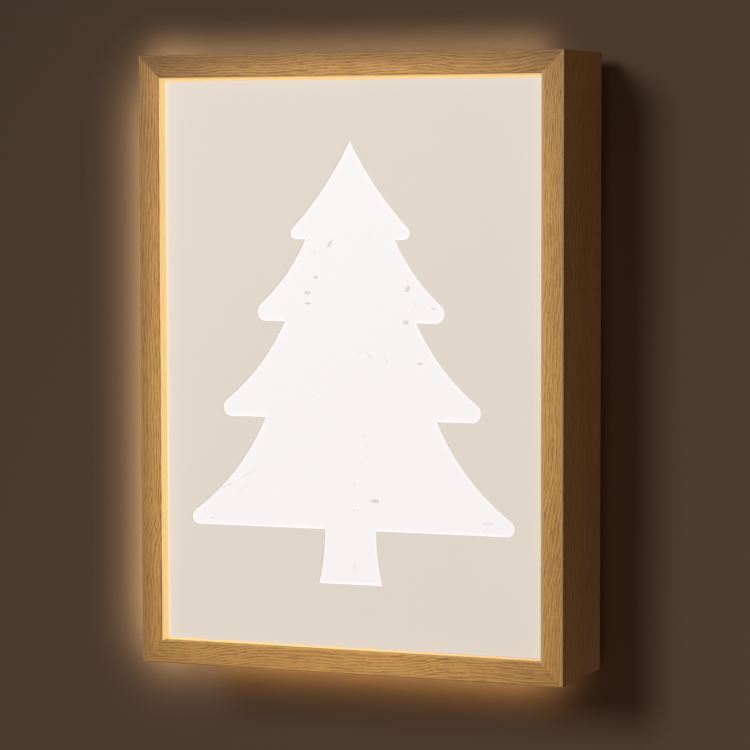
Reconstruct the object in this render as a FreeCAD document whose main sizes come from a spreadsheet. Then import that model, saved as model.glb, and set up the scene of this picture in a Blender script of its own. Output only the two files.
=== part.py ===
import FreeCAD, Part
import math
import os
import Sketcher

# Wall lamp: an oak light box with a fir-tree picture, hung on a bevelled wall cleat.
# Millimetres. X runs to the right and Z up, the front faces -Y and the wall is the plane y = 0.
# The origin is the middle of the cleat's rear face, where the wall holds the lamp.

DIMENSIONS = [
    # picture
    ("art_width", 210.0, "picture sheet, side to side"),
    ("art_height", 297.0, "picture sheet, bottom to top"),
    ("art_thick", 0.8, "picture sheet"),
    ("paper_thick", 0.3, "paper behind the window"),
    ("paper_inset", 1.0, "picture edge to paper edge"),
    ("glow_margin", 1.5, "picture edge to wood, all round"),
    ("picture_recess", 4.8, "front edge of the wood to the picture"),
    # box
    ("board_thick", 12.0, "oak boards"),
    ("board_depth", 64.0, "oak boards, front edge to rear edge"),
    ("arris", 0.6, "chamfer on the boards' long edges"),
    ("rebate_width", 6.0, "rear rebate, into the board's thickness"),
    ("block_side", 22.0, "corner blocks, square"),
    ("block_chamfer", 12.0, "corner blocks, inner edge"),
    # diffuser and light source
    ("diffuser_thick", 3.0, "opal sheet"),
    ("diffuser_hold", 4.5, "opal sheet inside the groove"),
    ("groove_spare", 0.5, "groove deeper than the opal sheet needs"),
    ("groove_play", 0.15, "groove wall to the opal sheet"),
    ("light_gap", 27.0, "opal sheet to the light plate"),
    ("plate_thick", 1.5, "light plate"),
    ("plate_play", 1.0, "light plate to the boards"),
    ("bar_width", 10.0, "light bars"),
    ("bar_thick", 1.2, "light bars"),
    ("bar_end", 7.0, "light plate's edge to the light bars' ends"),
    ("bar_side", 27.5, "light plate's edge to the middle of the outer light bars"),
    ("bar_count", 4, "light bars"),
    ("chip_side", 3.0, "light sources on the bars, square"),
    ("chip_thick", 0.8, "light sources on the bars"),
    ("chip_end", 16.0, "light bar's end to the middle of its first light source"),
    ("chip_count", 11, "light sources on each bar"),
    # driver, terminal block and wiring
    ("driver_length", 150.0, "driver housing, bottom to top"),
    ("driver_height", 40.0, "driver housing, side to side"),
    ("driver_depth", 16.0, "driver housing, off the plate"),
    ("driver_chamfer", 3.0, "driver housing, long edges"),
    ("driver_rise", 10.0, "middle of the box to the middle of the driver"),
    ("tab_length", 9.0, "driver's fixing tabs"),
    ("tab_thick", 2.0, "driver's fixing tabs"),
    ("terminal_width", 26.0, "terminal block, side to side"),
    ("terminal_height", 16.0, "terminal block, bottom to top"),
    ("terminal_depth", 15.0, "terminal block, off the plate"),
    ("terminal_gap", 8.0, "driver's lower tab to the terminal block"),
    ("poles_apart", 8.0, "terminal block, pole to pole"),
    ("terminal_well", 2.6, "terminal block, radius over its screws"),
    ("terminal_well_depth", 4.0, "terminal block, depth over its screws"),
    ("wire_radius", 0.8, "round wires"),
    ("wire_lift", 9.0, "light plate to the middle of the round wires and of the switch"),
    ("wire_entry", 3.0, "round wires inside the terminal block"),
    ("wire_play", 0.4, "wires and leads to the holes they pass"),
    ("lead_width", 4.0, "flat leads"),
    ("lead_thick", 1.2, "flat leads"),
    ("lead_bend", 3.0, "flat leads, middle-line bend"),
    ("lead_inner", 8.5, "driver's side to the middle of its inner leads"),
    ("lead_outer", 3.5, "driver's side to the middle of its outer lead"),
    ("lead_rise", 8.0, "driver's upper end to the leads' first turn"),
    ("lead_lift", 4.0, "light plate to the middle of the light bars' lead"),
    ("lead_beside", 4.5, "driver's side to the middle of the lead that passes it"),
    ("lead_lie", 0.1, "flat leads to what they lie on"),
    ("lead_lap", 4.0, "flat leads along the end of a glow strip"),
    ("lead_stop", 1.6, "lead's end past the front edge of a glow strip"),
    ("feed_rise", 25.0, "driver's upper end to the light bars' feed"),
    ("jumper_lap", 3.0, "jumpers, on each light bar"),
    # back and wall fixing
    ("wall_gap", 14.0, "boards' rear edges to the wall"),
    ("panel_thick", 4.0, "back panel"),
    ("panel_play", 0.4, "back panel to the rebate"),
    ("panel_clear", 0.6, "back panel to the lower corner blocks"),
    ("slot_width", 4.0, "air slots"),
    ("slot_length", 34.0, "air slots"),
    ("slots_apart", 11.0, "air slots, middle to middle"),
    ("slot_count", 6, "air slots in each row"),
    ("slot_rise", 55.0, "middle of the box to the upper air slots"),
    ("slot_drop", 112.0, "middle of the box to the lower air slots"),
    ("rail_height", 44.0, "hanging rail, tip to top"),
    ("rail_standoff", 2.0, "hanging rail to the wall"),
    ("rail_play", 0.3, "hanging rail to the rebate"),
    ("tuck_height", 6.0, "panel edge held by the hanging rail"),
    ("cleat_length", 150.0, "wall cleat"),
    ("cleat_height", 36.0, "wall cleat"),
    ("cleat_thick", 12.0, "wall cleat"),
    ("cleat_holes_apart", 110.0, "wall cleat, hole to hole"),
    ("cleat_hole_radius", 2.5, "wall cleat, holes"),
    ("cleat_sink_radius", 5.0, "wall cleat, countersinks"),
    ("cleat_seat", 0.15, "bevel to bevel, measured upright"),
    ("batten_width", 12.0, "battens, across"),
    ("batten_depth", 8.0, "battens, off the panel"),
    ("batten_inset", 16.0, "box outline to the battens"),
    ("batten_clear", 1.5, "battens' ends to the turn buttons' swing"),
    ("batten_drop", 2.0, "hanging rail's tip to the side battens"),
    ("bumper_side", 12.0, "felt bumpers, square"),
    ("bumper_end", 20.0, "bottom batten's end to the middle of a bumper"),
    ("strip_width", 7.0, "glow strips"),
    ("strip_thick", 0.6, "glow strips"),
    ("strip_end", 6.0, "carrier's end to the strip's end"),
    ("glow_chip_length", 3.5, "light sources on the glow strips, along"),
    ("glow_chip_width", 2.8, "light sources on the glow strips, across"),
    ("glow_chip_thick", 0.7, "light sources on the glow strips"),
    ("glow_chip_end", 8.0, "glow strip's end to its first light source"),
    ("glow_across_count", 10, "light sources on the top and bottom glow strips"),
    ("glow_upright_count", 11, "light sources on the side glow strips"),
    ("grommet_bore", 4.0, "cable grommet, radius of its hole"),
    ("grommet_neck", 6.4, "cable grommet, radius in the panel"),
    ("grommet_flange", 8.5, "cable grommet, radius of its flanges"),
    ("grommet_lip", 1.6, "cable grommet, flange"),
    ("grommet_play", 0.1, "panel hole to the grommet's neck"),
    ("grommet_drop", 75.0, "middle of the box to the grommet, down"),
    # turn buttons
    ("turn_radius", 5.0, "turn buttons, half their width"),
    ("turn_reach", 13.0, "turn buttons, pivot to the middle of the round tip"),
    ("turn_thick", 1.5, "turn buttons"),
    ("turn_lift", 0.15, "turn buttons to the panel and to their screw heads"),
    # screws
    ("screw_radius", 1.75, "screw shanks"),
    ("screw_head", 3.4, "pan heads, radius"),
    ("screw_head_thick", 1.8, "pan heads"),
    ("screw_length", 12.0, "screws, under the head"),
    ("screw_play", 0.06, "screw shank to its hole"),
    ("rail_screw_length", 24.0, "hanging rail's screws, overall"),
    # switch
    ("switch_radius", 6.0, "switch barrel"),
    ("switch_length", 24.0, "switch barrel, behind its flange"),
    ("switch_flange", 8.6, "switch flange, radius"),
    ("switch_lip", 2.0, "switch flange"),
    ("switch_play", 0.15, "board hole to the switch barrel"),
    ("switch_bore", 4.65, "switch barrel's bore"),
    ("switch_bore_depth", 9.0, "switch barrel's bore, above the board's face"),
    ("stem_radius", 2.0, "button stem"),
    ("stem_length", 7.0, "button stem, above the cap"),
    ("stem_bore_depth", 16.5, "stem's bore, above the board's face"),
    ("button_play", 0.07, "button to its bore, all round"),
    ("button_out", 2.6, "button proud of the flange"),
    ("button_in", 5.0, "button cap above the board's face"),
    ("button_chamfer", 0.6, "button cap, edge"),
    ("nut_across", 15.0, "switch nut, across flats"),
    ("nut_thick", 3.0, "switch nut"),
    ("blade_width", 2.4, "switch terminals"),
    ("blade_thick", 0.8, "switch terminals"),
    ("blade_length", 5.0, "switch terminals"),
    # fir tree, measured from the middle of the picture
    ("tree_top", 117.0, "tip of the tree"),
    ("tier_one_tip", 33.6, "first tier, half its width"),
    ("tier_one_round", 3.5, "first tier, radius of its ends"),
    ("tier_one_foot", 65.3, "first tier, underside"),
    ("tier_one_flank", 185.0, "first tier, radius of its flanks"),
    ("tier_two_start", 25.4, "second tier, half its width where it starts"),
    ("tier_two_tip", 52.7, "second tier, half its width"),
    ("tier_two_round", 5.2, "second tier, radius of its ends"),
    ("tier_two_foot", 22.2, "second tier, underside"),
    ("tier_two_flank", 98.0, "second tier, radius of its flanks"),
    ("tier_three_start", 37.2, "third tier, half its width where it starts"),
    ("tier_three_tip", 72.6, "third tier, half its width"),
    ("tier_three_round", 5.0, "third tier, radius of its ends"),
    ("tier_three_foot", -28.6, "third tier, underside"),
    ("tier_three_flank", 115.0, "third tier, radius of its flanks"),
    ("tier_four_start", 48.4, "fourth tier, half its width where it starts"),
    ("tier_four_tip", 91.0, "fourth tier, half its width"),
    ("tier_four_round", 4.3, "fourth tier, radius of its ends"),
    ("tier_four_foot", -86.8, "fourth tier, underside"),
    ("tier_four_flank", 124.0, "fourth tier, radius of its flanks"),
    ("tip_angle", 50.0, "degrees from level to where a flank meets its round end"),
    ("trunk_start", 14.5, "trunk, half its width at the top"),
    ("trunk_end", 18.0, "trunk, half its width at the foot"),
    ("trunk_foot", -115.4, "trunk, foot"),
    ("trunk_flank", 130.0, "trunk, radius of its sides"),
]

doc = FreeCAD.newDocument("WallLamp")
sheet = doc.addObject("Spreadsheet::Sheet", "Sizes")


class Size:
    """A length that knows its number and the spreadsheet formula that gives it."""

    def __init__(self, value, formula):
        self.value = value
        self.formula = formula

    def joined(self, sign, other, value):
        other_formula = other.formula if isinstance(other, Size) else str(other)
        return Size(value, "(" + self.formula + " " + sign + " " + other_formula + ")")

    def __add__(self, other):
        return self.joined("+", other, self.value + number(other))

    def __sub__(self, other):
        return self.joined("-", other, self.value - number(other))

    def __rsub__(self, other):
        return -self + other

    def __mul__(self, other):
        return self.joined("*", other, self.value * number(other))

    def __truediv__(self, other):
        return self.joined("/", other, self.value / number(other))

    def __neg__(self):
        return Size(-self.value, "(0 - " + self.formula + ")")


class Named:
    """Holds the driving dimensions by name."""


def number(length):
    return length.value if isinstance(length, Size) else length


def cosine(angle):
    return Size(math.cos(math.radians(angle.value)), "cos(" + angle.formula + " * 1 deg)")


def sine(angle):
    return Size(math.sin(math.radians(angle.value)), "sin(" + angle.formula + " * 1 deg)")


size = Named()
for row, (alias, value, meaning) in enumerate(DIMENSIONS, start=1):
    sheet.set("A" + str(row), meaning)
    sheet.set("B" + str(row), str(value))
    sheet.setAlias("B" + str(row), alias)
    setattr(size, alias, Size(value, "Sizes." + alias))
doc.recompute()

# Places that follow from the driving dimensions
outer_width = size.art_width + (size.glow_margin + size.board_thick) * 2
outer_height = size.art_height + (size.glow_margin + size.board_thick) * 2
inner_half_width = outer_width / 2 - size.board_thick
inner_half_height = outer_height / 2 - size.board_thick

rear_edge = -size.wall_gap
front_edge = rear_edge - size.board_depth
picture_face = front_edge + size.picture_recess
paper_face = picture_face + size.art_thick
diffuser_face = paper_face + size.paper_thick
diffuser_rear = diffuser_face + size.diffuser_thick
plate_face = diffuser_rear + size.light_gap
plate_rear = plate_face + size.plate_thick
panel_face = rear_edge - size.panel_thick
batten_rear = rear_edge + size.batten_depth

cleat_top = size.cleat_height / 2
rail_tip = cleat_top + size.cleat_seat - size.cleat_thick + size.rail_standoff
rail_top = rail_tip + size.rail_height
tuck_face = rear_edge + size.panel_play
rail_nose = cleat_top + size.cleat_seat - size.cleat_thick - tuck_face
tuck_top = rail_nose + size.tuck_height
rebate_edge = size.board_thick - size.rebate_width
box_top = rail_top + rebate_edge + size.rail_play
box_middle = box_top - outer_height / 2
box_bottom = box_top - outer_height

# Driver, terminal block and switch stand in one line, so that the round wires run straight
plate_half_width = inner_half_width - size.plate_play
plate_half_height = inner_half_height - size.plate_play
first_bar = size.bar_side - plate_half_width
bar_step = -first_bar * 2 / (size.bar_count - 1)
feed_x = first_bar + bar_step * size.bar_count / 2
driver_half_height = size.driver_height / 2
inner_lead = driver_half_height - size.lead_inner
driver_x = feed_x + inner_lead
driver_z = box_middle + size.driver_rise
driver_top = driver_z + size.driver_length / 2
feed_z = driver_top + size.feed_rise
terminal_x = driver_x - size.poles_apart / 2
switch_x = terminal_x - size.poles_apart / 2
wire_y = plate_rear + size.wire_lift

subparts = []


def bind(thing, prop, length):
    """Ties a property to the spreadsheet."""
    thing.setExpression(prop, length.formula if isinstance(length, Size) else str(length))


def place(thing, x=0, y=0, z=0, turn_about_y=0):
    """Puts a sub-part at a point given by sizes, turned about the depth axis."""
    turn = FreeCAD.Rotation(FreeCAD.Vector(0, 1, 0), turn_about_y)
    thing.Placement = FreeCAD.Placement(FreeCAD.Vector(number(x), number(y), number(z)), turn)
    for axis, length in (("x", x), ("y", y), ("z", z)):
        bind(thing, "Placement.Base." + axis, length)


def keep(thing, label):
    """Counts an object as a sub-part under its own name."""
    thing.Label = label
    subparts.append(thing)
    return thing


def new_body(label):
    return keep(doc.addObject("PartDesign::Body", label), label)


def origin_feature(body, role):
    return [feature for feature in body.Origin.OriginFeatures if feature.Role == role][0]


def new_sketch(body, name, plane, x=0, y=0, z=0):
    """A sketch on one of the body's own planes, moved by an offset in the sketch's own axes."""
    sketch = body.newObject("Sketcher::SketchObject", body.Name + "_" + name)
    sketch.AttachmentSupport = [(origin_feature(body, plane), "")]
    sketch.MapMode = "FlatFace"
    for axis, length in (("x", x), ("y", y), ("z", z)):
        if number(length) != 0:
            bind(sketch, ".AttachmentOffset.Base." + axis, length)
    return sketch


def fix_point(sketch, geometry, point, x, y):
    """Holds a point of the sketch at two sizes."""
    for length, kind, axis in ((x, "DistanceX", -2), (y, "DistanceY", -1)):
        if isinstance(length, Size):
            index = sketch.addConstraint(Sketcher.Constraint(kind, -1, 1, geometry, point, length.value))
            bind(sketch, "Constraints[" + str(index) + "]", length)
        else:
            sketch.addConstraint(Sketcher.Constraint("PointOnObject", geometry, point, axis))


def add_arc(sketch, start, end, radius, turn):
    """Adds the shorter arc from start to end, and says which of its ends lies at start."""
    chord = end - start
    left = FreeCAD.Vector(-chord.y, chord.x, 0).normalize() * (1 if turn == "left" else -1)
    centre = (start + end) / 2 + left * math.sqrt(radius * radius - chord.Length ** 2 / 4)
    first, last = (start, end) if turn == "left" else (end, start)
    angles = [math.atan2(point.y - centre.y, point.x - centre.x) for point in (first, last)]
    circle = Part.Circle(centre, FreeCAD.Vector(0, 0, 1), radius)
    index = sketch.addGeometry(Part.ArcOfCircle(circle, angles[0], angles[1]), False)
    return (index, 1, 2) if turn == "left" else (index, 2, 1)


def draw(sketch, corners, bends=None):
    """Draws a closed outline. bends gives a radius and a turn to each side that is an arc."""
    bends = bends or {}
    sides = []
    for side, corner in enumerate(corners):
        following = corners[(side + 1) % len(corners)]
        start = FreeCAD.Vector(number(corner[0]), number(corner[1]), 0)
        end = FreeCAD.Vector(number(following[0]), number(following[1]), 0)
        if side in bends:
            radius, turn = bends[side]
            sides.append(add_arc(sketch, start, end, radius.value, turn))
        else:
            sides.append((sketch.addGeometry(Part.LineSegment(start, end), False), 1, 2))
    for side, (index, start_point, end_point) in enumerate(sides):
        following = sides[(side + 1) % len(sides)]
        meeting = Sketcher.Constraint("Coincident", index, end_point, following[0], following[1])
        sketch.addConstraint(meeting)
        fix_point(sketch, index, start_point, corners[side][0], corners[side][1])
        if side in bends:
            radius = bends[side][0]
            constraint = sketch.addConstraint(Sketcher.Constraint("Radius", index, radius.value))
            bind(sketch, "Constraints[" + str(constraint) + "]", radius)


def draw_box(sketch, left, right, low, high):
    draw(sketch, [(left, low), (right, low), (right, high), (left, high)])


def draw_circle(sketch, x, y, radius):
    centre = FreeCAD.Vector(number(x), number(y), 0)
    index = sketch.addGeometry(Part.Circle(centre, FreeCAD.Vector(0, 0, 1), radius.value), False)
    fix_point(sketch, index, 3, x, y)
    constraint = sketch.addConstraint(Sketcher.Constraint("Radius", index, radius.value))
    bind(sketch, "Constraints[" + str(constraint) + "]", radius)


def pad(body, sketch, length, both_ways=False, backwards=False):
    feature = body.newObject("PartDesign::Pad", sketch.Name + "_pad")
    feature.Profile = sketch
    feature.SideType = "Symmetric" if both_ways else "One side"
    feature.Reversed = backwards
    bind(feature, "Length", length)
    return feature


def check_cut(body, before):
    """A cut that points away from the wood would leave the volume as it was."""
    doc.recompute()
    if body.Shape.Volume > before - 1e-6:
        raise ValueError(body.Label + ": a cut removed nothing")


def pocket(body, sketch, depth=None, backwards=False):
    """Cuts a sketch out of the body, right through it where no depth is given."""
    doc.recompute()
    before = body.Shape.Volume
    feature = body.newObject("PartDesign::Pocket", sketch.Name + "_pocket")
    feature.Profile = sketch
    if depth is None:
        feature.Type = "ThroughAll"
        feature.SideType = "Symmetric"
    else:
        feature.Reversed = backwards
        bind(feature, "Length", depth)
    check_cut(body, before)
    return feature


def revolve(body, sketch, cut=False):
    """Turns a sketch once round its own upright axis."""
    doc.recompute()
    before = body.Shape.Volume if cut else 0
    kind = "PartDesign::Groove" if cut else "PartDesign::Revolution"
    feature = body.newObject(kind, sketch.Name + "_turned")
    feature.Profile = sketch
    feature.ReferenceAxis = (sketch, ["V_Axis"])
    feature.Angle = 360
    if cut:
        check_cut(body, before)
    return feature


def repeat(body, feature, role, count, pitch, whole=False):
    """Repeats a feature, or the whole body so far, along one of the body's axes."""
    pattern = body.newObject("PartDesign::LinearPattern", feature.Name + "_row")
    if whole:
        pattern.TransformMode = "Whole shape"
    else:
        pattern.Originals = [feature]
    pattern.Direction = (origin_feature(body, role), [""])
    pattern.Mode = "Spacing"
    bind(pattern, "Offset", pitch)
    bind(pattern, "Occurrences", count)
    body.Tip = pattern
    return pattern


def part_box(label, low, high):
    """A plain rectangular piece between two corners."""
    box = keep(doc.addObject("Part::Box", label), label)
    for prop, axis in (("Length", 0), ("Width", 1), ("Height", 2)):
        bind(box, prop, high[axis] - low[axis])
    place(box, low[0], low[1], low[2])
    return box


# Oak boards: one section with a groove for the opal sheet and a rebate for the back, mitred at both ends
def mitred_board(label, length, x, z, turn):
    board = new_body(label)
    groove_bottom = size.diffuser_hold + size.groove_spare - size.board_thick
    groove_front = size.picture_recess + size.art_thick + size.paper_thick - size.groove_play
    groove_rear = groove_front + size.diffuser_thick + size.groove_play * 2
    rebate_front = size.board_depth - size.panel_thick
    inner_face = -size.board_thick
    section = new_sketch(board, "section", "YZ_Plane")
    draw(section, [
        (size.arris, 0),
        (size.board_depth - size.arris, 0),
        (size.board_depth, -size.arris),
        (size.board_depth, -rebate_edge),
        (rebate_front, -rebate_edge),
        (rebate_front, inner_face),
        (groove_rear, inner_face),
        (groove_rear, groove_bottom),
        (groove_front, groove_bottom),
        (groove_front, inner_face),
        (size.arris, inner_face),
        (0, inner_face + size.arris),
        (0, -size.arris),
    ])
    pad(board, section, length, both_ways=True)
    mitres = new_sketch(board, "mitres", "XZ_Plane")
    saw_run = size.board_thick / 4
    for side in (1, -1):
        draw(mitres, [
            ((length / 2 + saw_run) * side, saw_run),
            ((length / 2 - size.board_thick - saw_run) * side, -size.board_thick - saw_run),
            ((length / 2 + saw_run) * side, -size.board_thick - saw_run),
        ])
    pocket(board, mitres)
    place(board, x, front_edge, z, turn)
    return board


mitred_board("top_board", outer_width, 0, box_top, 0)
mitred_board("side_board_right", outer_height, outer_width / 2, box_middle, 90)
mitred_board("side_board_left", outer_height, -outer_width / 2, box_middle, -90)
bottom_board = mitred_board("bottom_board", outer_width, 0, box_bottom, 180)

switch_hole = new_sketch(bottom_board, "switch_hole", "XY_Plane")
draw_circle(switch_hole, -switch_x, wire_y - front_edge, size.switch_radius + size.switch_play)
pocket(bottom_board, switch_hole)

# Corner blocks: they carry the light plate in front, and the hanging rail or a turn button at the rear
block_middle = size.board_thick + size.block_side / 2
screw_half_x = outer_width / 2 - block_middle
screw_half_z = outer_height / 2 - block_middle
screw_hole = size.screw_radius + size.screw_play


def corner_block(label, side, level, rear):
    """One block, bored through its middle for a screw from the front and another from the rear."""
    block = new_body(label)
    inner = size.block_side
    cut = inner - size.block_chamfer
    outline = new_sketch(block, "outline", "XZ_Plane")
    draw(outline, [(0, 0), (inner * -side, 0), (inner * -side, cut * -level),
                   (cut * -side, inner * -level), (0, inner * -level)])
    draw_circle(outline, inner / 2 * -side, inner / 2 * -level, screw_hole)
    pad(block, outline, rear - plate_rear)
    place(block, inner_half_width * side, rear, box_middle + inner_half_height * level)


for side, side_name in ((1, "right"), (-1, "left")):
    corner_block("corner_block_top_" + side_name, side, 1, panel_face)
    corner_block("corner_block_bottom_" + side_name, side, -1, rear_edge)

# Picture: the fir tree is a window in the sheet, with white paper behind it
picture = new_body("art_panel")
picture_outline = new_sketch(picture, "outline", "XZ_Plane")
art_half_width = size.art_width / 2
art_half_height = size.art_height / 2
draw_box(picture_outline, -art_half_width, art_half_width, -art_half_height, art_half_height)


def tier(start, tip, rounding, foot, flank):
    """One tier's right half: the flank's start, its end at the round tip, and the tip's end."""
    middle = tip - rounding
    meeting_x = middle + rounding * cosine(size.tip_angle)
    meeting_z = foot + rounding + rounding * sine(size.tip_angle)
    return [start, (meeting_x, meeting_z), (middle, foot)], [(flank, "left"), (rounding, "right"), None]


tiers = [
    tier((0, size.tree_top),
         size.tier_one_tip, size.tier_one_round, size.tier_one_foot, size.tier_one_flank),
    tier((size.tier_two_start, size.tier_one_foot),
         size.tier_two_tip, size.tier_two_round, size.tier_two_foot, size.tier_two_flank),
    tier((size.tier_three_start, size.tier_two_foot),
         size.tier_three_tip, size.tier_three_round, size.tier_three_foot, size.tier_three_flank),
    tier((size.tier_four_start, size.tier_three_foot),
         size.tier_four_tip, size.tier_four_round, size.tier_four_foot, size.tier_four_flank),
    ([(size.trunk_start, size.tier_four_foot)], [(size.trunk_flank, "left")]),
]
right_points = [point for points, bends in tiers for point in points]
right_points.append((size.trunk_end, size.trunk_foot))
right_bends = [bend for points, bends in tiers for bend in bends]
left_points = [(-x, z) for x, z in reversed(right_points[1:])]
tree_bends = right_bends + [None] + right_bends[::-1]
draw(picture_outline, right_points + left_points,
     {side: bend for side, bend in enumerate(tree_bends) if bend})
pad(picture, picture_outline, size.art_thick)
place(picture, 0, paper_face, box_middle)

paper_half_width = art_half_width - size.paper_inset
paper_half_height = art_half_height - size.paper_inset
part_box("tree_paper", (-paper_half_width, paper_face, box_middle - paper_half_height),
         (paper_half_width, diffuser_face, box_middle + paper_half_height))

diffuser_half_width = inner_half_width + size.diffuser_hold
diffuser_half_height = inner_half_height + size.diffuser_hold
part_box("opal_diffuser", (-diffuser_half_width, diffuser_face, box_middle - diffuser_half_height),
         (diffuser_half_width, diffuser_rear, box_middle + diffuser_half_height))

# Light plate: the bars lie on its front, the driver and the terminal block on its rear
bar_half_length = plate_half_height - size.bar_end
bar_face = plate_face - size.bar_thick
chip_span = (bar_half_length - size.chip_end) * 2
tab_middle = (size.driver_length + size.tab_length) / 2
hole_across = size.lead_width / 2 + size.wire_play
hole_thick = size.lead_thick / 2 + size.wire_play
bars = range(int(size.bar_count.value))

plate = new_body("led_plate")
plate_outline = new_sketch(plate, "outline", "XZ_Plane")
draw_box(plate_outline, -plate_half_width, plate_half_width, -plate_half_height, plate_half_height)
for side in (1, -1):
    for level in (1, -1):
        draw_circle(plate_outline, screw_half_x * side, screw_half_z * level, screw_hole)
    draw_circle(plate_outline, driver_x, size.driver_rise + tab_middle * side, screw_hole)
feed_level = feed_z - box_middle
draw_box(plate_outline, feed_x - hole_across, feed_x + hole_across,
         feed_level - hole_thick, feed_level + hole_thick)
pad(plate, plate_outline, size.plate_thick)
place(plate, 0, plate_rear, box_middle)

for bar in bars:
    x = first_bar + bar_step * bar
    part_box("led_bar_" + str(bar + 1),
             (x - size.bar_width / 2, bar_face, box_middle - bar_half_length),
             (x + size.bar_width / 2, plate_face, box_middle + bar_half_length))

chips = new_body("led_chips")
chip = new_sketch(chips, "chip", "XZ_Plane")
draw_box(chip, -size.chip_side / 2, size.chip_side / 2, -size.chip_side / 2, size.chip_side / 2)
chip_pad = pad(chips, chip, size.chip_thick)
chip_row = repeat(chips, chip_pad, "Z_Axis", size.chip_count, chip_span / (size.chip_count - 1))
repeat(chips, chip_row, "X_Axis", size.bar_count, bar_step, whole=True)
place(chips, first_bar, bar_face, box_middle - chip_span / 2)

jumpers = new_body("bar_links")
jumper = new_sketch(jumpers, "jumper", "XZ_Plane")
jumper_start = size.bar_width / 2 - size.jumper_lap
draw_box(jumper, jumper_start, bar_step - jumper_start, -size.lead_width / 2, size.lead_width / 2)
repeat(jumpers, pad(jumpers, jumper, size.lead_thick), "X_Axis", size.bar_count - 1, bar_step)
place(jumpers, first_bar, bar_face, feed_z)


def pan_screws(label, length, x, y, z, pitch_x=None, pitch_z=None, out=-1):
    """Two pan-head screws, or four. The heads' undersides lie at y, and out is where the heads point."""
    screws = new_body(label)
    profile = new_sketch(screws, "profile", "XY_Plane")
    draw(profile, [
        (0, size.screw_head_thick * out),
        (size.screw_head, size.screw_head_thick * out),
        (size.screw_head, 0),
        (size.screw_radius, 0),
        (size.screw_radius, -length * out),
        (0, -length * out),
    ])
    latest = revolve(screws, profile)
    for role, pitch in (("X_Axis", pitch_x), ("Z_Axis", pitch_z)):
        if pitch is not None:
            latest = repeat(screws, latest, role, 2, pitch, whole=True)
    place(screws, x, y, z)


pan_screws("plate_screws", size.screw_length + size.plate_thick, -screw_half_x, plate_face,
           box_middle - screw_half_z, screw_half_x * 2, screw_half_z * 2)

# Driver: a slim upright housing with a fixing tab at each end
driver_shoulder = driver_half_height - size.driver_chamfer
driver = new_body("led_driver")
driver_section = new_sketch(driver, "section", "YZ_Plane")
draw(driver_section, [
    (0, -driver_half_height),
    (size.driver_depth - size.driver_chamfer, -driver_half_height),
    (size.driver_depth, -driver_shoulder),
    (size.driver_depth, driver_shoulder),
    (size.driver_depth - size.driver_chamfer, driver_half_height),
    (0, driver_half_height),
])
pad(driver, driver_section, size.driver_length, both_ways=True)
driver_tabs = new_sketch(driver, "tabs", "XZ_Plane")
driver_reach = size.driver_length / 2 + size.tab_length
draw_box(driver_tabs, -driver_reach, driver_reach, -driver_shoulder / 2, driver_shoulder / 2)
pad(driver, driver_tabs, size.tab_thick, backwards=True)
tab_holes = new_sketch(driver, "tab_holes", "XZ_Plane")
for side in (1, -1):
    draw_circle(tab_holes, tab_middle * side, 0, screw_hole)
pocket(driver, tab_holes)
place(driver, driver_x, plate_rear, driver_z, 90)
pan_screws("driver_screws", size.tab_thick + size.plate_thick, driver_x, plate_rear + size.tab_thick,
           driver_z - tab_middle, pitch_z=tab_middle * 2, out=1)

# Terminal block: three poles, wires from above and below, screws from the rear
terminal_half = size.terminal_height / 2
terminal_z = driver_z - driver_reach - size.terminal_gap - terminal_half
terminal = new_body("terminal_block")
terminal_section = new_sketch(terminal, "section", "YZ_Plane")
terminal_step = size.wire_lift + size.wire_radius * 2
draw(terminal_section, [
    (0, -terminal_half),
    (terminal_step, -terminal_half),
    (size.terminal_depth, -terminal_half / 2),
    (size.terminal_depth, terminal_half / 2),
    (terminal_step, terminal_half),
    (0, terminal_half),
])
pad(terminal, terminal_section, size.terminal_width, both_ways=True)
terminal_ways = new_sketch(terminal, "ways", "XY_Plane")
terminal_wells = new_sketch(terminal, "wells", "XZ_Plane", z=-size.terminal_depth)
way = size.wire_radius + size.wire_play
for pole in (-1, 0, 1):
    pole_x = size.poles_apart * pole
    draw_box(terminal_ways, pole_x - way, pole_x + way, size.wire_lift - way, size.wire_lift + way)
    draw_circle(terminal_wells, pole_x if pole else 0, 0, size.terminal_well)
pocket(terminal, terminal_ways)
pocket(terminal, terminal_wells, size.terminal_well_depth, backwards=True)
place(terminal, terminal_x, plate_rear, terminal_z)

# Back panel: rests in the rebate, its upper edge tucked in front of the hanging rail
panel_half_width = outer_width / 2 - rebate_edge - size.panel_play
panel_low = rebate_edge + size.panel_play - outer_height / 2
panel_high = tuck_top - size.panel_play - box_middle
block_reach = size.board_thick + size.block_side - rebate_edge - size.panel_play
panel_corner = block_reach * 2 - size.block_chamfer + size.panel_clear * math.sqrt(2)
batten_outer_x = outer_width / 2 - size.batten_inset
batten_outer_z = box_bottom + size.batten_inset
strip_lead = size.strip_thick + size.lead_lie + size.lead_thick / 2
side_lead_x = batten_outer_x + strip_lead
side_lead_z = driver_top + size.lead_rise
side_lead_level = side_lead_z - box_middle
lower_lead_x = driver_x - driver_half_height - size.lead_beside
lower_lead_z = batten_outer_z - strip_lead
lower_lead_level = lower_lead_z - box_middle
panel = new_body("back_panel")
panel_outline = new_sketch(panel, "outline", "XZ_Plane")
draw(panel_outline, [
    (panel_corner - panel_half_width, panel_low),
    (panel_half_width - panel_corner, panel_low),
    (panel_half_width, panel_low + panel_corner),
    (panel_half_width, panel_high),
    (-panel_half_width, panel_high),
    (-panel_half_width, panel_low + panel_corner),
])
draw_circle(panel_outline, 0, -size.grommet_drop, size.grommet_neck + size.grommet_play)
draw_box(panel_outline, side_lead_x - hole_thick, side_lead_x + hole_thick,
         side_lead_level - hole_across, side_lead_level + hole_across)
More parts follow.
